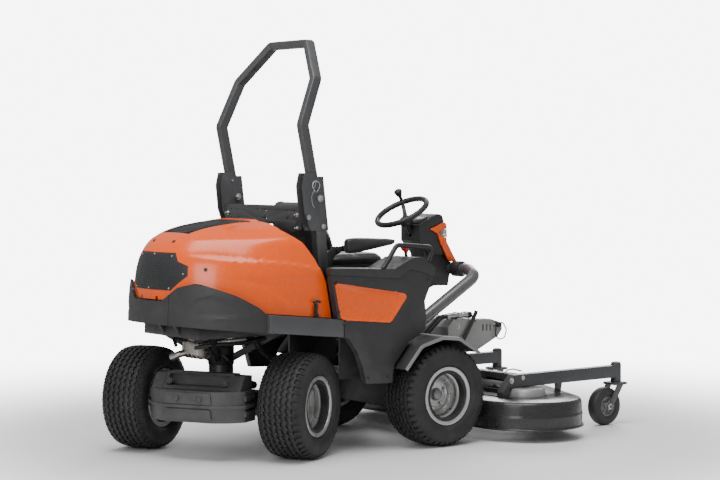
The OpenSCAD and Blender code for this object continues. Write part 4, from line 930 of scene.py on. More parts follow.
piece("console_inserts_dished", mirrored([insertPlate()]), "chassis", paint["orange"],
      ("console_inserts",), 30)
trimScrews = [((x, s * 500, z), (0, s, 0)) for s in (-1, 1) for x, z in
              ((-319, 492), (-92, 842), (-668, 848), (-650, 700), (-612, 640), (-345, 372), (-470, 372))]
finishPiece(scattered("trim_screws", trimScrews, [lathe([(0, -1), (8.5, -1), (8.5, 2.6), (7, 4), (3.4, 4),
                                                         (3, 2), (0, 2)],
                                                          18)], paint["black_plastic"]),
            "chassis", None, ("fasteners",))
plateBolts = [((-738 - 2, s * 292, z), (-1, 0, 0)) for s in (-1, 1) for z in (1096, 1160)]
finishPiece(scattered("plate_bolts", plateBolts, hexHead(8.5, 8,
                                                         13) + [lathe([(0, 0), (5, 0), (5, 16), (4, 17),
                                                                       (0, 17)], 14)],
                      paint["bare_steel"]), "chassis")
seams = mirrored([sweep([(-300, -500.6, 849), (-206, -500.6, 893), (-54, -500.6, 855)],
                        [(-1, -0.9), (1, -0.9), (1, 0.9), (-1, 0.9)]),
                  sweep([(-690, -500.4, 786), (-652, -500.4, 668)],
                        [(-0.8, -1), (0.8, -1), (0.8, 1), (-0.8, 1)])])
piece("panel_seams", seams, "chassis", paint["holeShadeAndSeams"])

# fenders with a light rolled lip, and the footplate
fenderLine = [(-292, 410), (-190, 522), (-50, 556), (62, 546), (198, 466)]


def fenderSkin(y0, y1, lift, thick, bend=70):
    centre = roundedLine([(x, 0, z + lift) for x, z in fenderLine], bend, 10)
    section = [(y0, 0), (y1, 0), (y1, -thick), (y0, -thick)]
    return sweep(centre, [(y, z) for y, z in section], first=(0, 1, 0))


piece("fender_tops", mirrored([fenderSkin(332, 566, -1, 8)]), "chassis", paint["dark_trim"],
      ("front_fenders",), bevel=2.5)
piece("fender_lips", mirrored([fenderSkin(564, 572, -1, 17)]), "chassis", paint["fenderLip"],
      bevel=2.5)
piece("fender_skirts", mirrored([prism([(20, 386), (20, 545), (58, 541), (189, 460), (192, 386)], 305.6, 311),
                                 prism([(20, 549), (62, 545), (197, 465), (189, 457), (58, 536), (20, 539)],
                                       305.6, 333)]),
      "chassis", paint["dark_trim"], bevel=1.2)
roundedNode("foot_platform", 2.0, 2, "chassis", "black_plastic")

# roll bar: swept square tube, hinge plates, pins with rings
rollBar = {"depth": 50, "width": 40, "corner": 7, "bend": 26}
barLine = [(-662, -342, 1212), (-744, -342, 1592), (-648, -318, 1815), (-562, -150, 1996), (-562, 150, 1996),
           (-648, 318, 1815), (-744, 342, 1592), (-662, 342, 1212)]


def squareTube():
    line = roundedLine(barLine, rollBar["bend"], 5)
    points, faces = [], []
    section = roundRect(rollBar["depth"], rollBar["width"], rollBar["corner"], 4)
    k = len(section)
    for i, p in enumerate(line):
        way = ((line[min(i + 1, len(line) - 1)] - line[min(i, len(line) - 2)]).normalized()
               + (line[max(i, 1)] - line[max(i - 1, 0)]).normalized()).normalized()
        front = Vector((1, 0, 0))
        front = (front - way * front.dot(way)).normalized()
        out = way.cross(front)
        points += [tuple(p + front * u + out * v) for u, v in section]
    faces = bandFaces(len(line), k)
    return points, faces + [list(range(k)), [(len(line) - 1) * k + j for j in range(k)]]


piece("roll_bar_tube", [squareTube()], "rollover_hoop", paint["grey_paint"], ("rops_hoop",), 30)
roundedNode("rops_posts", 1.6, 2, "chassis", "grey_paint")
hardware = []
for s in (-1, 1):
    hardware += boltAt((-668, s * 382, 1240), (0, s, 0), 12, 9, 17) + boltAt((-668, s * 305, 1240),
                                                                             (0, -s, 0), 12, 9, 17)
    hardware += [rod((-700, s * 309, 1322), (-700, s * 391, 1322), 6.5)]
    hardware += boltAt((-728, s * 370, 1150), (0, s, 0), 8, 6, 13) + boltAt((-640, s * 370, 1105), (0, s, 0),
                                                                            8, 6, 13)
    loop = [(-700 + 20 * math.sin(a), s * (391 + 5 * math.sin(2 * a)), 1322 - 26 + 26 * math.cos(a))
            for a in [i * 2 * math.pi / 18 for i in range(19)]]
    hardware.append(pipe(loop, 1.7, k=8))
    hardware.append(pipe([(-700, s * 388, 1320), (-712, s * 394, 1290), (-722, s * 384, 1250),
                          (-716, s * 381, 1215), (-700, s * 377, 1196)], 1.2, 14, 4, 8))
piece("roll_bar_pins", hardware, "chassis", paint["bare_steel"])

# rails, hoop, levers
railLine = [(-336, -452, 894), (-250, -452, 1008), (-14, -452, 990), (-50, -452, 922)]
piece("grab_rails", mirrored([pipe(railLine, 12.5, 34, 10)]), "chassis",
      paint["black_plastic"], ("grab_rail",), 50)
hoopLine = [(-118, -297, 520), (406, -297, 824), (452, -190, 852), (452, 190, 852), (406, 297, 824),
            (-118, 297, 520)]
hoopParts = [pipe(hoopLine, 31, 75, 12, 28)]
hoopParts += mirrored([block((-152, 262, 486), (-84, 318, 498))])
piece("front_hoop_pipe", hoopParts, "chassis", paint["pipe_paint"], ("front_hoop",), 50)
hoopCollar = mirrored([turned(lathe([(31.5, 0), (41, 0), (41, 60), (31.5, 60)], 36),
                              Matrix.Translation((452, 84, 852)))])
piece("hoop_collars", hoopCollar, "chassis", paint["dark_trim"], bevel=2)


def leverParts(y, tip, r):
    base = Vector((-95, y, 898))
    tip = Vector(tip)
    stem = sweep([base, base.lerp(tip, 0.5) + Vector((-2, 0, 0)), tip], roundRect(8, 13, 3), 40, 5,
                 first=(0, 1, 0), scale=lambda t: 1.0 - 0.2 * t)
    way = (tip - base).normalized()
    grip = turned(lathe([(0, -26), (5.5, -26), (8, -16), (r * 0.72, -8), (r * 0.98, 2), (r * 0.9, 11),
                         (r * 0.55, 16), (0, 17)], 28), aimed(tip, way))
    return [stem, turned(lathe([(5.1, -7), (10, -7), (10, 7), (5.1, 7), (5.1, -7)], 24),
                         Matrix.Translation((-95, y, 898)))], [grip]


for name, y, tip, r in (("lift_lever", -376, (-140, -376, 986), 17),
                        ("throttle_lever", -332, (-92, -332, 974), 15)):
    stem, grip = leverParts(y, tip, r)
    piece(name + "_stem", stem, name, paint["black_plastic"])
    piece(name + "_grip", grip, name, paint["red_knob"], (name,), 50)
extras = [sweep([(-60 + i * 22, -410, 930 - i * 10), (-66 + i * 22, -410, 985 - i * 6),
                 (-60 + i * 22, -410, 1018 - i * 10)],
                roundRect(7, 10, 2), 30, 4, scale=lambda t: 1 + 0.25 * t) for i in range(2)]
piece("fixed_levers", extras, "chassis", paint["black_plastic"])
gaiter = []
for y in (-376, -332):
    rings = [(18 - i * 1.1 + (2 if i % 2 else 0), i * 3) for i in range(9)]
    gaiter.append(turned(lathe([(0, 0)] + rings + [(0, 25)], 20),
                         Matrix.Translation((-98, y, 935)) @ Matrix.Rotation(
        math.pi / 2, 4, "X")))
roundedNode("drive_pedal", 1.2, 2, "drive_pedal", "black_plastic", paint["black_rubber"])
ribs = [sweep([(84 + i * 14, -222, 438 + i * 6.4), (84 + i * 14, -158, 438 + i * 6.4)], ringOf(1.6, 8),
              first=(1, 0, 0))
        for i in range(5)]
piece("pedal_ribs", ribs, "drive_pedal", paint["black_rubber"])

# steering wheel
ringSizes = {"ring": 138, "grip": 15, "tilt": 29, "centre": (158, 0, 1155)}
wheelPut = (Matrix.Translation(spot(ringSizes["centre"])) @ Matrix.Rotation(math.radians(-ringSizes["tilt"]),
                                                                            4, "Y"))
grip = []
k, m = 160, 20
points, faces = [], []
for i in range(k):
    a = 2 * math.pi * i / k
    wave = 1 - 0.07 * (0.5 + 0.5 * math.cos(a * 28))
    for j in range(m):
        b = 2 * math.pi * j / m
        inner = math.cos(b) < 0
        r = ringSizes["grip"] * (wave if inner else 1)
        points.append(((ringSizes["ring"] + r * math.cos(b)) * math.cos(a),
                       (ringSizes["ring"] + r * math.cos(b)) *
                       math.sin(a), r * math.sin(b)))
faces = [[i * m + j, i * m + (j + 1) % m, (i + 1) % k * m + (j + 1) % m,
          (i + 1) % k * m + j] for i in range(k)
         for j in range(m)]
grip.append((points, faces))
spokes = []
for a in (45, 180, 292):
    c, s = math.cos(math.radians(a)), math.sin(math.radians(a))
    spokes.append(sweep([(20 * c, 20 * s, -46), (70 * c, 70 * s, -37), (112 * c, 112 * s, -12),
                         (137 * c, 137 * s, 0)],
                        roundRect(19, 11, 4), 40, 6, first=(-s, c, 0), scale=lambda t: 1.25 - 0.25 * t))
hub = turned(lathe([(0, 16), (18, 15), (28, 10), (35, 0), (37, -14), (34, -26), (24, -30), (0, -30)], 40),
             Matrix.Translation((0, 0, -46)) @ Matrix.Rotation(math.pi / 2, 4, "X"))
stem = turned(lathe([(0, 0), (14, 0), (14, 60), (0, 60)], 28),
              Matrix.Translation((0, 0, -70)) @ Matrix.Rotation(
    -math.pi / 2, 4, "X"))
kx, ky = 138 * math.cos(math.radians(45)), 138 * math.sin(math.radians(45))
spin = turned(lathe([(0, 4), (9, 4), (9, 34), (12, 39), (20, 58), (22, 66), (19, 72), (12, 76), (0, 77)], 32),
              Matrix.Translation((kx, ky, 0)) @ Matrix.Rotation(math.pi / 2, 4, "X"))
piece("steering_ring", grip + spokes + [hub, stem, spin], "steering_wheel",
      paint["black_plastic"], ("steering_wheel",), 45, place=wheelPut)

# tower head, display, front shell and lamps
roundedNode("steering_tower", 5, 3, "chassis", "dark_trim")
roundedNode("tower_fascia", 3.5, 3, "chassis", "orange")
slope = Vector((85, 0, 43)).normalized()
face = Vector((-slope.z, 0, slope.x))
bezelAt = Vector((262, 0, 1111))


def bezelPlate(u0, u1, half, low, high):
    ring = [(u, v) for u, v in roundRect(u1 - u0, 2 * half, 9, 4)]
    mid = (u0 + u1) / 2
    points = []
    for d in (low, high):
        points += [tuple(bezelAt + slope * (u + mid) + face * d + Vector((0, v, 0))) for u, v in ring]
    n = len(ring)
    return points, [list(range(n)), list(range(2 * n - 1, n - 1, -1))] + [[i, (i + 1) % n, n + (i + 1) % n,
                                                                           n + i]
                                                                          for i in range(n)]


piece("display_bezel", [bezelPlate(-38, 34, 52, -4, 3.5)], "chassis",
      paint["black_plastic"], bevel=1.5)
piece("display_glass", [bezelPlate(-30, 26, 44, 3, 4.4)], "chassis", paint["glassDark"],
      bevel=0.6)
lampOutline = [(344, 1044), (361, 1055.6), (400, 1063.6), (402, 1018.4), (358, 1029.4)]
piece("lamp_lenses", mirrored([prism(lampOutline, 30, 81)]), "chassis", paint["lamp_lens"],
      ("headlamps",), bevel=2.5)
bowls = [turned(lathe([(0, 0), (8, 1), (14, 6), (17, 14), (17.5, 20), (19, 20), (19, -2), (0, -2)], 28),
                aimed((372, y, 1041), (1, 0, 0))) for y in (42, 66)]
piece("lamp_bowls", mirrored(bowls), "chassis", paint["reflector"])
print("operator place made")


# seat: cushions swell in cloth, then get sewn channels
seat = {"pressure": 4.0, "capMm": 11, "voxel": 0.006}


def blockPad(name, rings):                    # closed form from stacked rounded rectangles
    verts = []
    for centre, axisA, axisB, w, h, r in rings:
        for u, v in roundRect(w, h, min(r, w / 2 - 1, h / 2 - 1), 6):
            verts.append(tuple(Vector(centre) + Vector(axisA) * u + Vector(axisB) * v))
    n = 28
    faces = bandFaces(len(rings), n)
    faces += [list(range(n)), [(len(rings) - 1) * n + j for j in range(n)]]
    return newObject(name, meshFrom(name, [(verts, faces)], 60))


def swell(obj, cap):
    mod = obj.modifiers.new("remesh", "REMESH")
    mod.mode, mod.voxel_size = "VOXEL", seat["voxel"]
    bake(obj)
    rest = [v.co.copy() for v in obj.data.vertices]
    scene = bpy.context.scene
    cloth = obj.modifiers.new("cloth", "CLOTH")
    cloth.settings.use_pressure = True
    cloth.settings.uniform_pressure_force = seat["pressure"]
    cloth.settings.quality = 4
    cloth.settings.tension_stiffness = cloth.settings.compression_stiffness = 18
    cloth.settings.effector_weights.gravity = 0
    cloth.collision_settings.use_collision = False
    for step in range(1, 21):
        scene.frame_set(step)
    bake(obj)
    scene.frame_set(1)
    for v, old in zip(obj.data.vertices, rest):
        move = v.co - old
        if move.length > cap / 1000:
            v.co = old + move * (cap / 1000 / move.length)
    return rest


def channel(obj, lines, width, depth, normal):    # presses sewn lines into a pad
    normal = Vector(normal).normalized()
    for v in obj.data.vertices:
        for a, b in lines:
            a, b = spot(a), spot(b)
            pa, pb, pv = (p - normal * p.dot(normal) for p in (a, b, v.co))
            t = min(1, max(0, (pv - pa).dot(pb - pa) / max(1e-9, (pb - pa).length_squared)))
            d = (pv - pa - (pb - pa) * t).length * 1000
            if d < width and v.normal.dot(normal) > 0.2:
                v.co -= normal * depth / 1000 * (1 - smoothStep(d, 0, width))


def finishPad(obj, body, node):
    mod = obj.modifiers.new("smooth", "SUBSURF")
    mod.levels = mod.render_levels = 1
    bake(obj, 60)
    finishPiece(obj, body, paint["seat_cover"], (node,))


cushion = blockPad("seat_cushion_pad", [((-297, 0, z), (1, 0, 0), (0, 1, 0), w, h, 60) for z, w, h in
                                        ((906.5, 330, 424), (912, 350, 446), (930, 358, 456), (940, 350, 448),
                                         (948, 318, 416))])
swell(cushion, seat["capMm"])
channel(cushion, [((-440, s * 130, 0), (-160, s * 130, 0)) for s in (-1, 1)]
        + [((x, -130, 0), (x, 130, 0)) for x in (-380, -300, -220)], 11, 4, (0, 0, 1))
finishPad(cushion, "seat", "seat_cushion")
lean = Vector((-64, 0, 147)).normalized()
faceOut = Vector((lean.z, 0, -lean.x))
backRings = []
for t, w, r in ((0, 350, 40), (12, 384, 44), (60, 396, 48), (150, 388, 48), (210, 368, 44), (248, 330, 40),
                (262, 290, 34)):
    centre = Vector((-446, 0, 976)) + lean * t
    backRings.append((centre, (0, 1, 0), faceOut, w, 52 - (8 if t > 200 or t < 5 else 0), r))
backrest = blockPad("seat_backrest_pad", backRings)
swell(backrest, seat["capMm"])
channel(backrest, [((-446, s * 118, 985), (-500, s * 118, 1205)) for s in (-1, 1)]
        + [((-446 - 0.4 * dz, -118, 985 + dz), (-446 - 0.4 * dz, 118, 985 + dz)) for dz in (55, 110, 165)],
        11, 4, faceOut)
finishPad(backrest, "seat", "seat_backrest")
for side in ("left", "right"):
    s = 1 if side == "left" else -1
    rings = []
    for x, z, h, w in ((-446, 1002, 58, 36), (-436, 1003, 72, 44), (-400, 1004, 76, 46), (-320, 1008, 62, 46),
                       (-230, 1013, 44, 45), (-165, 1016, 31, 43), (-142, 1018, 18, 34)):
        rings.append(((x, s * 294.5, z), (0, 1, 0), (0, 0, 1), w, h, 16))
    arm = blockPad("armrest_pad_" + side, rings)
    swell(arm, 3)
    finishPad(arm, "armrest_" + side, "armrest_" + side)
    under = [prism([(-480, 976), (-474, 998), (-410, 1010), (-410, 975)], s * 264, s * 269),
             turned(lathe([(6.06, 0), (15, 0), (15, 8.4), (6.06, 8.4), (6.06, 0)], 28),
                    Matrix.Translation((-466, s * 264.7 - 4.2, 982)))]
    piece("armrest_bracket_" + side, under, "armrest_" + side, paint["black_paint"], bevel=0.8)
roundedNode("seat_frame", 1.2, 2, "seat", "black_paint")
for node, slot in (("fuel_tank", "black_plastic"), ("battery", "black_plastic")):
    roundedNode(node, 8, 3, "chassis", slot)
print("seat made")

# chassis, axles, counterweight and engine bay
for node, body_, width in (("main_frame", "chassis", 2.0), ("radiator", "chassis", 1.5),
                           ("front_axle", "chassis", 3.0), ("rear_axle", "rear_bogie", 3.0)):
    roundedNode(node, width, 2, body_, "black_paint")
roundedNode("counterweight", 6, 3, "rear_bogie", "casting")


def onBogie(parts):
    m = Matrix.Translation((-wheel["base"], 0, 0)) @ Matrix.Rotation(math.radians(wheel["steer"]), 4, "Z")
    return [turned(p, m) for p in parts]


weightBits = [prism([(-128, 206), (128, 206), (118, 252), (-118, 252)], -332, -322, "x"),
              prism([(-126, 276), (126, 276), (120, 330), (-120, 330)], -330, -322, "x")]
for s in (-1, 1):
    weightBits += [turned(lathe([(0, 0), (16, 0), (15, 5), (10, 9), (0, 10)], 24),
                          aimed((-330, s * 62, 300), (-1, 0, 0)))]
    for z in (216, 290):
        weightBits.append(prism([(-236, s * 253), (-140, s * 253), (-140, s * 261), (-230, s * 261)], z,
                                z + 26, "z"))
    weightBits += [turned(p, aimed((-238, s * 150, 372), (-0.85, 0, 0.5))) for p in hexHead(11, 8, 17)]
piece("counterweight_ledges", onBogie(weightBits), "rear_bogie", paint["casting"], bevel=2.5)
weightBolts = []
for y in (-30, 30):
    weightBolts += [turned(lathe([(6.6, 0), (12, 0), (12, 2.4), (6.6, 2.4), (6.6, 0)], 24),
                           aimed((-324.5, y, 318), (-1, 0, 0)))]
for s in (-1, 1):
    weightBolts += boltAt((-190, s * 200, 392), (0, 0, 1), 10, 7, 16)
piece("counterweight_hardware", onBogie(weightBolts), "rear_bogie", paint["bare_steel"])
cylinder = onBogie([pipe([(-40, -200, 345), (60, -60, 345)], 19, k=24),
                    pipe([(40, -88, 345), (96, -10, 345)], 9, k=18)])
piece("steering_cylinder", cylinder, "rear_bogie", paint["black_paint"])

engineBits = []
for y0, s in ((-132, -1), (132, 1)):
    for i in range(9):
        engineBits.append(block((-1072 + i * 30, min(y0, y0 + s * 12), 650),
                                (-1060 + i * 30, max(y0, y0 + s * 12), 836)))
    engineBits.append(pipe([(-1060, s * 112, 602), (-1010, s * 128, 560), (-880, s * 128, 556),
                            (-800, s * 120, 600)], 15, 30, 6))
engineBits += [block((-1044, -104, 545), (-848, 104, 552)), block((-1044, -100, 575), (-848, 100, 580))]
for i in range(6):
    engineBits += boltAt((-1036 + i * 36, -104, 560), (0, -1, 0), 6, 5, 9)
    engineBits += boltAt((-1036 + i * 36, 104, 560), (0, 1, 0), 6, 5, 9)
engineBits += [turned(lathe([(0, 0), (34, 0), (36, 6), (36, 64), (30, 72), (0, 74)], 32),
                      aimed((-980, -96, 600), (0, -1, -0.1))),
               turned(lathe([(0, 0), (26, 0), (26, 40), (20, 46), (0, 46)], 28),
                      aimed((-900, 96, 600), (0, 1, 0)))]
piece("engine_castings", engineBits, "chassis", paint["engine_metal"], bevel=1.2)
roundedNode("engine", 3, 2, "chassis", "engine_metal")

muffler = [sweep([(-1123, -70, 521), (-1123, -60, 521), (-1123, 60, 521), (-1123, 70, 521)],
                 roundRect(92, 98, 30, 6), first=(1, 0, 0), scale=lambda t: 0.93 if t in (0, 1) else 1.0),
           sweep([(-1095, 0, 566), (-1095, 0, 592)], roundRect(118, 98, 12, 4), first=(1, 0, 0)),
           pipe([(-1123, -66, 536), (-1123, -112, 548), (-1070, -150, 560), (-960, -168, 566)], 19, 40, 8,
                24),
           pipe([(-1150, 40, 500), (-1192, 66, 486), (-1210, 96, 470)], 17, 30, 8, 24),
           pipe([(-1150, -40, 560), (-1210, -60, 582), (-1216, -120, 584), (-1120, -190, 590)], 13, 40, 8,
                20)]
for y in (-52, -18, 18, 52):
    muffler.append(sweep([(-1123, y - 2, 521), (-1123, y + 2, 521)], roundRect(97, 103, 32, 6),
                         first=(1, 0, 0)))
piece("muffler_and_pipes", muffler, "chassis", paint["hotSteel"], ("muffler",), 45, bevel=0.8)
tubes = []
for i, (y, z, r) in enumerate(((-168, 560, 9), (-150, 585, 7), (-176, 598, 6), (168, 560, 9), (150, 585, 7))):
    tubes.append(pipe([(-1190, y * 0.5, z - 30), (-1150, y, z - 10 + i * 3), (-1000, y * 1.05, z - 14),
                       (-860, y, z), (-720, y * 0.9, z + 10)], r, 60, 6, 12))
tubes += [pipe([(-905, -150, 590), (-880, -172, 520), (-800, -140, 470), (-640, -120, 430)], 8, 50, 8, 12),
          pipe([(-905, -130, 590), (-870, -150, 510), (-780, -120, 455), (-640, -90, 420)], 8, 50, 8, 12),
          pipe([(-1060, -60, 520), (-1040, -140, 470), (-1000, -100, 440), (-985, -40, 500)], 7, 30, 8, 12)]
piece("engine_hoses", tubes, "chassis", paint["black_rubber"])
blades = []
for i in range(7):
    a = 2 * math.pi * i / 7
    part = sweep([(0, 0, 44), (0, 0, 90), (0, 0, 130), (0, 0, 156)],
                 [(-26, -8), (0, 1), (26, 8), (26, 10), (0, 3.4), (-26, -5.6)], first=(0, 1, 0),
                 scale=lambda t: 0.75 + 0.3 * t)
    blades.append(turned(part, Matrix.Translation((-1144, 0, 760)) @ Matrix.Rotation(a, 4, "X")))
blades.append(turned(lathe([(0, -18), (40, -18), (46, -12), (46, 14), (38, 20), (0, 22)], 36),
                     Matrix.Translation((-1144, 0, 760)) @ Matrix.Rotation(math.pi / 2, 4, "Z")))
blades.append(turned(lathe([(0, 0), (14, 0), (14, 92), (0, 92)], 24),
                     Matrix.Translation((-1084, 0, 760)) @ Matrix.Rotation(
    math.pi / 2, 4, "Z")))
piece("cooling_fan_blades", blades, "cooling_fan", paint["fan_plastic"], ("cooling_fan",), 40)
latches = []
for s in (-1, 1):
    latches += [block((-763, min(s * 455, s * 459), 680), (-743, max(s * 455, s * 459), 742)),
                pipe([(-753, s * 459, 694), (-753, s * 461, 720), (-753, s * 464, 746)], 5.5, k=14),
                pipe([(-773, s * 464, 750), (-763, s * 465, 754), (-753, s * 465, 755), (-743, s * 465, 754),
                      (-733, s * 464, 750)], 6.5, 12, 4, 14),
                block((-766, min(s * 455, s * 466), 682), (-740, max(s * 455, s * 466), 694)),
                turned(lathe([(0, -6), (6, -6), (6, 6), (0, 6)], 16),
                       Matrix.Translation((-753, s * 461, 729)) @ Matrix.Rotation(math.pi / 2, 4, "Z"))]
piece("hood_latch_handles", latches, "chassis", paint["black_rubber"], ("hood_latches",),
      bevel=1.0)
print("chassis made")


# front bracket, couplers and hoses
roundedNode("front_bracket", 4, 3, "chassis", "light_paint")
bits = []
for s in (-1, 1):
    bits += boltAt((330, s * 250, 560), (0, s, 0), 8, 6, 13) + boltAt((360, s * 250, 500), (0, s, 0), 8, 6,
                                                                      13)
    bits += boltAt((590, s * 250, 560), (0, s, 0), 9, 7, 14)
piece("bracket_bolts", bits, "chassis", paint["bare_steel"])
couplers = []
for y in (-236, -205):
    put = Matrix.Translation((300, y, 618)) @ Matrix.Rotation(-math.pi / 2, 4, "Z")
    couplers.append(turned(lathe([(0, 0), (12, 0), (13, 3), (13, 30), (11, 33), (11, 36), (16, 37), (17, 40),
                                  (17, 45), (15.5, 46.5), (17, 48), (17, 55), (15, 58), (11, 59), (11, 66),
                                  (12.5, 68), (12.5, 74), (11, 76), (11, 87), (14, 88), (15, 91), (15, 101),
                                  (13, 105), (6, 105), (6, 100), (0, 100)], 32), put))
    couplers.append(turned(hexHead(14.5, 14)[0], put @ Matrix.Translation((0, 8, 0))))
couplers += [block((335, -246, 603), (352, -195, 612)), block((325, -250, 599.4), (370, -192, 604))]
couplers += boltAt((362, -220, 604), (0, 0, 1), 6, 5, 9)
piece("coupler_bodies", couplers, "chassis", paint["bare_steel"], ("hydraulic_couplers",))
hoses, ferrules = [], []
for y in (-236, -205):
    line = [(298, y, 618), (230, y, 612), (70, y - 20, 500), (30, y - 20, 400.5)]
    hoses.append(pipe(line, 9, 55, 10, 20))
    ferrules.append(rod((298, y, 618), (262, y, 614.8), 11.5, 20))
    hoses.append(turned(lathe([(0, 0), (14, 0), (16, 4), (16, 24), (12, 28), (0, 28)], 24),
                        Matrix.Translation((404, y, 618)) @ Matrix.Rotation(-math.pi / 2, 4, "Z")))
hoses.append(pipe([(412, -236, 603), (418, -236, 582), (440, -244, 574), (452, -252, 586)], 2.6, 14, 5, 10))
piece("hydraulic_hose_runs", hoses, "chassis", paint["black_rubber"], ("hydraulic_hoses",))
piece("hose_ferrules", ferrules, "chassis", paint["bare_steel"])
flat = sweep([(354, -262, 489), (400, -262, 560), (442, -262, 627), (446, -262, 640)], roundRect(24, 6, 2),
             20, 4, first=(0.86, 0, -0.5))
handle = [flat] + boltAt((356, -259, 494), (0, -1, 0), 8, 5, 12)
piece("flat_lever", handle, "chassis", paint["black_paint"], bevel=0.8)
plug = [turned(lathe([(0, 0), (13, 0), (15, 4), (15, 20), (12, 26), (0, 26)], 24),
               aimed((598, -252, 560), (0, -1, 0))),
        pipe([(610, -262, 566), (628, -270, 570), (652, -272, 530), (640, -270, 488), (600, -266, 480),
              (582, -262, 506), (590, -258, 545)], 3.4, 18, 6, 12)]
piece("cable_loop", plug, "chassis", paint["black_rubber"])

# lift arms and cutting deck
spindles = {"left": (575, 508), "right": (575, -508), "centre": (800, 0)}
roundedNode("lift_frame", 3, 2, "lift_arms", "light_paint")
roundedNode("deck_frame", 3, 3, "deck", "grey_paint")
for side in ("left", "right"):
    roundedNode("caster_fork_" + side, 2, 2, "caster_" + side, "grey_paint")


def leftOf(o, a, b):                          # above 0 where b lies left of the line from o to a
    return (a[0] - o[0]) * (b[1] - o[1]) - (a[1] - o[1]) * (b[0] - o[0])


def hullAround(centres, r, steps=96):        # outline that wraps round circles of one radius
    pts = []
    for cx, cy in centres:
        pts += [(cx + r * math.cos(2 * math.pi * i / steps), cy + r * math.sin(2 * math.pi * i / steps))
                for i in range(steps)]
    pts.sort()
    half = []
    for seq in (pts, pts[::-1]):
        chain = []
        for p in seq:
            while len(chain) > 1 and leftOf(chain[-2], chain[-1], p) <= 1e-6:
                chain.pop()
            chain.append(p)
        half += chain[:-1]
    return half


def deckRings(centres, levels, count=320):    # rings of one wrap-round outline, matched by direction
    points = []
    seeds = []
    big = hullAround(centres, 280)
    total, marks = 0, [0]
    for a, b in zip(big, big[1:] + big[:1]):
        total += math.dist(a, b)
        marks.append(total)
    loop, k = big + big[:1], 0
    for i in range(count):
        d = total * i / count
        while marks[k + 1] < d:
            k += 1
        t = (d - marks[k]) / max(1e-9, marks[k + 1] - marks[k])
        p = Vector(loop[k]).lerp(Vector(loop[k + 1]), t)
        way = (Vector(loop[k + 1]) - Vector(loop[k])).normalized()
        seeds.append((p, Vector((way.y, -way.x))))
    for r, z in levels:
        points += [(p.x + n.x * (r - 280), p.y + n.y * (r - 280), z) for p, n in seeds]
    return points, bandFaces(len(levels), count)


def deckSkin():
    outer = [(296.5, 62), (297, 63), (297, 66.5), (296, 67.5), (289, 68), (287.5, 70), (287, 74), (287, 116),
             (288.8, 121), (289, 127), (286.5, 132), (285, 140), (284, 182), (281, 194), (273, 202),
             (262, 205), (226, 205.2), (218, 208), (150, 209), (60, 209)]
    inner = [(60, 200), (255, 200), (268, 198), (277, 190), (280, 178), (282, 130), (282, 62), (296.5, 62)]
    return [deckRings(list(spindles.values()), outer + inner)]


skin = newObject("deck_skin", meshFrom("deck_skin", deckSkin(), 40))
finishPiece(skin, "deck", paint["deckCoat"], ("deck_shell",))
deckBits = []
for cx, cy in spindles.values():
    put = Matrix.Translation((cx, cy, 0)) @ Matrix.Rotation(math.pi / 2, 4, "X")
    deckBits.append(turned(lathe([(15.1, 150), (42, 150), (42, 214), (38, 218), (15.1, 218), (15.1, 150)],
                                 40), put))
    for i in range(4):
        a = math.pi / 4 + i * math.pi / 2
        deckBits += boltAt((cx + 62 * math.cos(a), cy + 62 * math.sin(a), 198), (0, 0, -1), 7, 6, 11)
piece("spindle_housings", deckBits, "deck", paint["grey_paint"])
ribsOn = mirrored([sweep([(760, -40, 209), (690, -200, 209), (640, -330, 209)],
                         [(-9, -3), (9, -3), (6, 5), (-6, 5)], 60, 6, first=(0.9, 0.4, 0)),
                   sweep([(420, -300, 209), (420, -560, 209)], [(-7, -3), (7, -3), (4, 5), (-4, 5)],
                         first=(1, 0, 0))])
piece("deck_ribs", ribsOn, "deck", paint["black_paint"])
covers = []
for cx, cy in spindles.values():
    put = Matrix.Translation((cx, cy, 0)) @ Matrix.Rotation(math.pi / 2, 4, "X")
    covers.append(turned(lathe([(84, 206), (102, 206), (103, 209), (92.5, 246), (88, 249.4), (30, 250),
                                (24, 247), (0, 247), (0, 246), (70, 246), (84, 243), (84, 206)], 64), put))
    for i in range(3):
        a = 0.5 + i * 2 * math.pi / 3
        covers += boltAt((cx + 66 * math.cos(a), cy + 66 * math.sin(a), 249.5), (0, 0, 1), 6, 3.4, 9)
piece("belt_cover_domes", covers, "deck", paint["light_paint"], ("belt_covers",), 40)
deckBolts = []
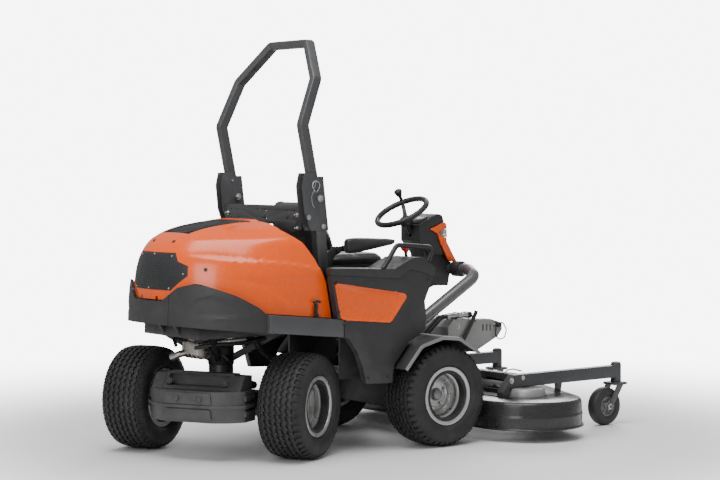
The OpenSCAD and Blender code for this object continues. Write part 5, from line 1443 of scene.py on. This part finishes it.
for s in (-1, 1):
    deckBolts += boltAt((480, s * 497, 290), (0, s, 0), 9, 7, 15) + boltAt((560, s * 497, 300), (0, s, 0), 7,
                                                                           5, 12)
    deckBolts += boltAt((440, s * 172, 300), (0, s, 0), 12, 8, 18)
    deckBolts += boltAt((874, s * 453, 260), (0, -s, 0), 7, 5, 11)
    deckBolts += [pipe([(500, s * 430, 318), (500, s * 430, 336), (560, s * 420, 340), (640, s * 400, 322)],
                       4, 16, 5, 10)]
piece("deck_bolts", deckBolts, "deck", paint["bare_steel"])
for side in spindles:
    roundedNode("blade_" + side, 0.6, 1, "blade_" + side, "bare_steel")

caster = {"r": 102.5, "x": 1273, "trail": 90, "y": 473}
for side in ("left", "right"):
    s = 1 if side == "left" else -1
    put = Matrix.Translation(spot((caster["x"] - caster["trail"], s * caster["y"], caster["r"])))
    tyreShape = [(52, -27), (60, -31), (70, -33), (84, -32.5), (94, -29), (100, -20), (102.4, -8),
                 (102.5, 0), (102.4, 8), (100, 20), (94, 29), (84, 32.5), (70, 33), (60, 31), (52, 27),
                 (50, 20), (50, -20), (52, -27)]
    piece("caster_tyre_" + side, [lathe(tyreShape, 80)], "caster_wheel_" + side,
          paint["caster_tyre"], ("caster_wheel_" + side,), 40, place=put)
    hubShape = [(8.06, -36), (19, -36), (21, -30), (21, -14), (30, -10), (42, -14), (46, -24), (52, -27),
                (53, -24), (50, -10), (50, 10), (53, 24), (52, 27), (46, 24), (42, 14), (30, 10), (21, 14),
                (21, 30), (19, 36), (8.06, 36), (8.06, -36)]
    hub = [lathe(hubShape, 64)]
    for i in range(6):
        a = i * math.pi / 3
        for y in (-18, 12):
            hub.append(turned(block((22, y, -2.2), (44, y + 6, 2.2)), Matrix.Rotation(a, 4, "Y")))
    piece("caster_hub_" + side, hub, "caster_wheel_" + side, paint["capGrey"], place=put)
    ends = []
    for e in (-1, 1):
        ends += [turned(p, aimed((0, e * 45, 0), (0, e, 0))) for p in hexHead(12, 7, 16)]
    piece("caster_axle_ends_" + side, ends, "caster_" + side, paint["bare_steel"], place=put)
    top = boltAt((caster["x"], s * caster["y"], 333), (0, 0, 1), 13, 3, 20)
    piece("caster_stem_bolt_" + side, top, "caster_" + side, paint["bare_steel"])
print("deck made")
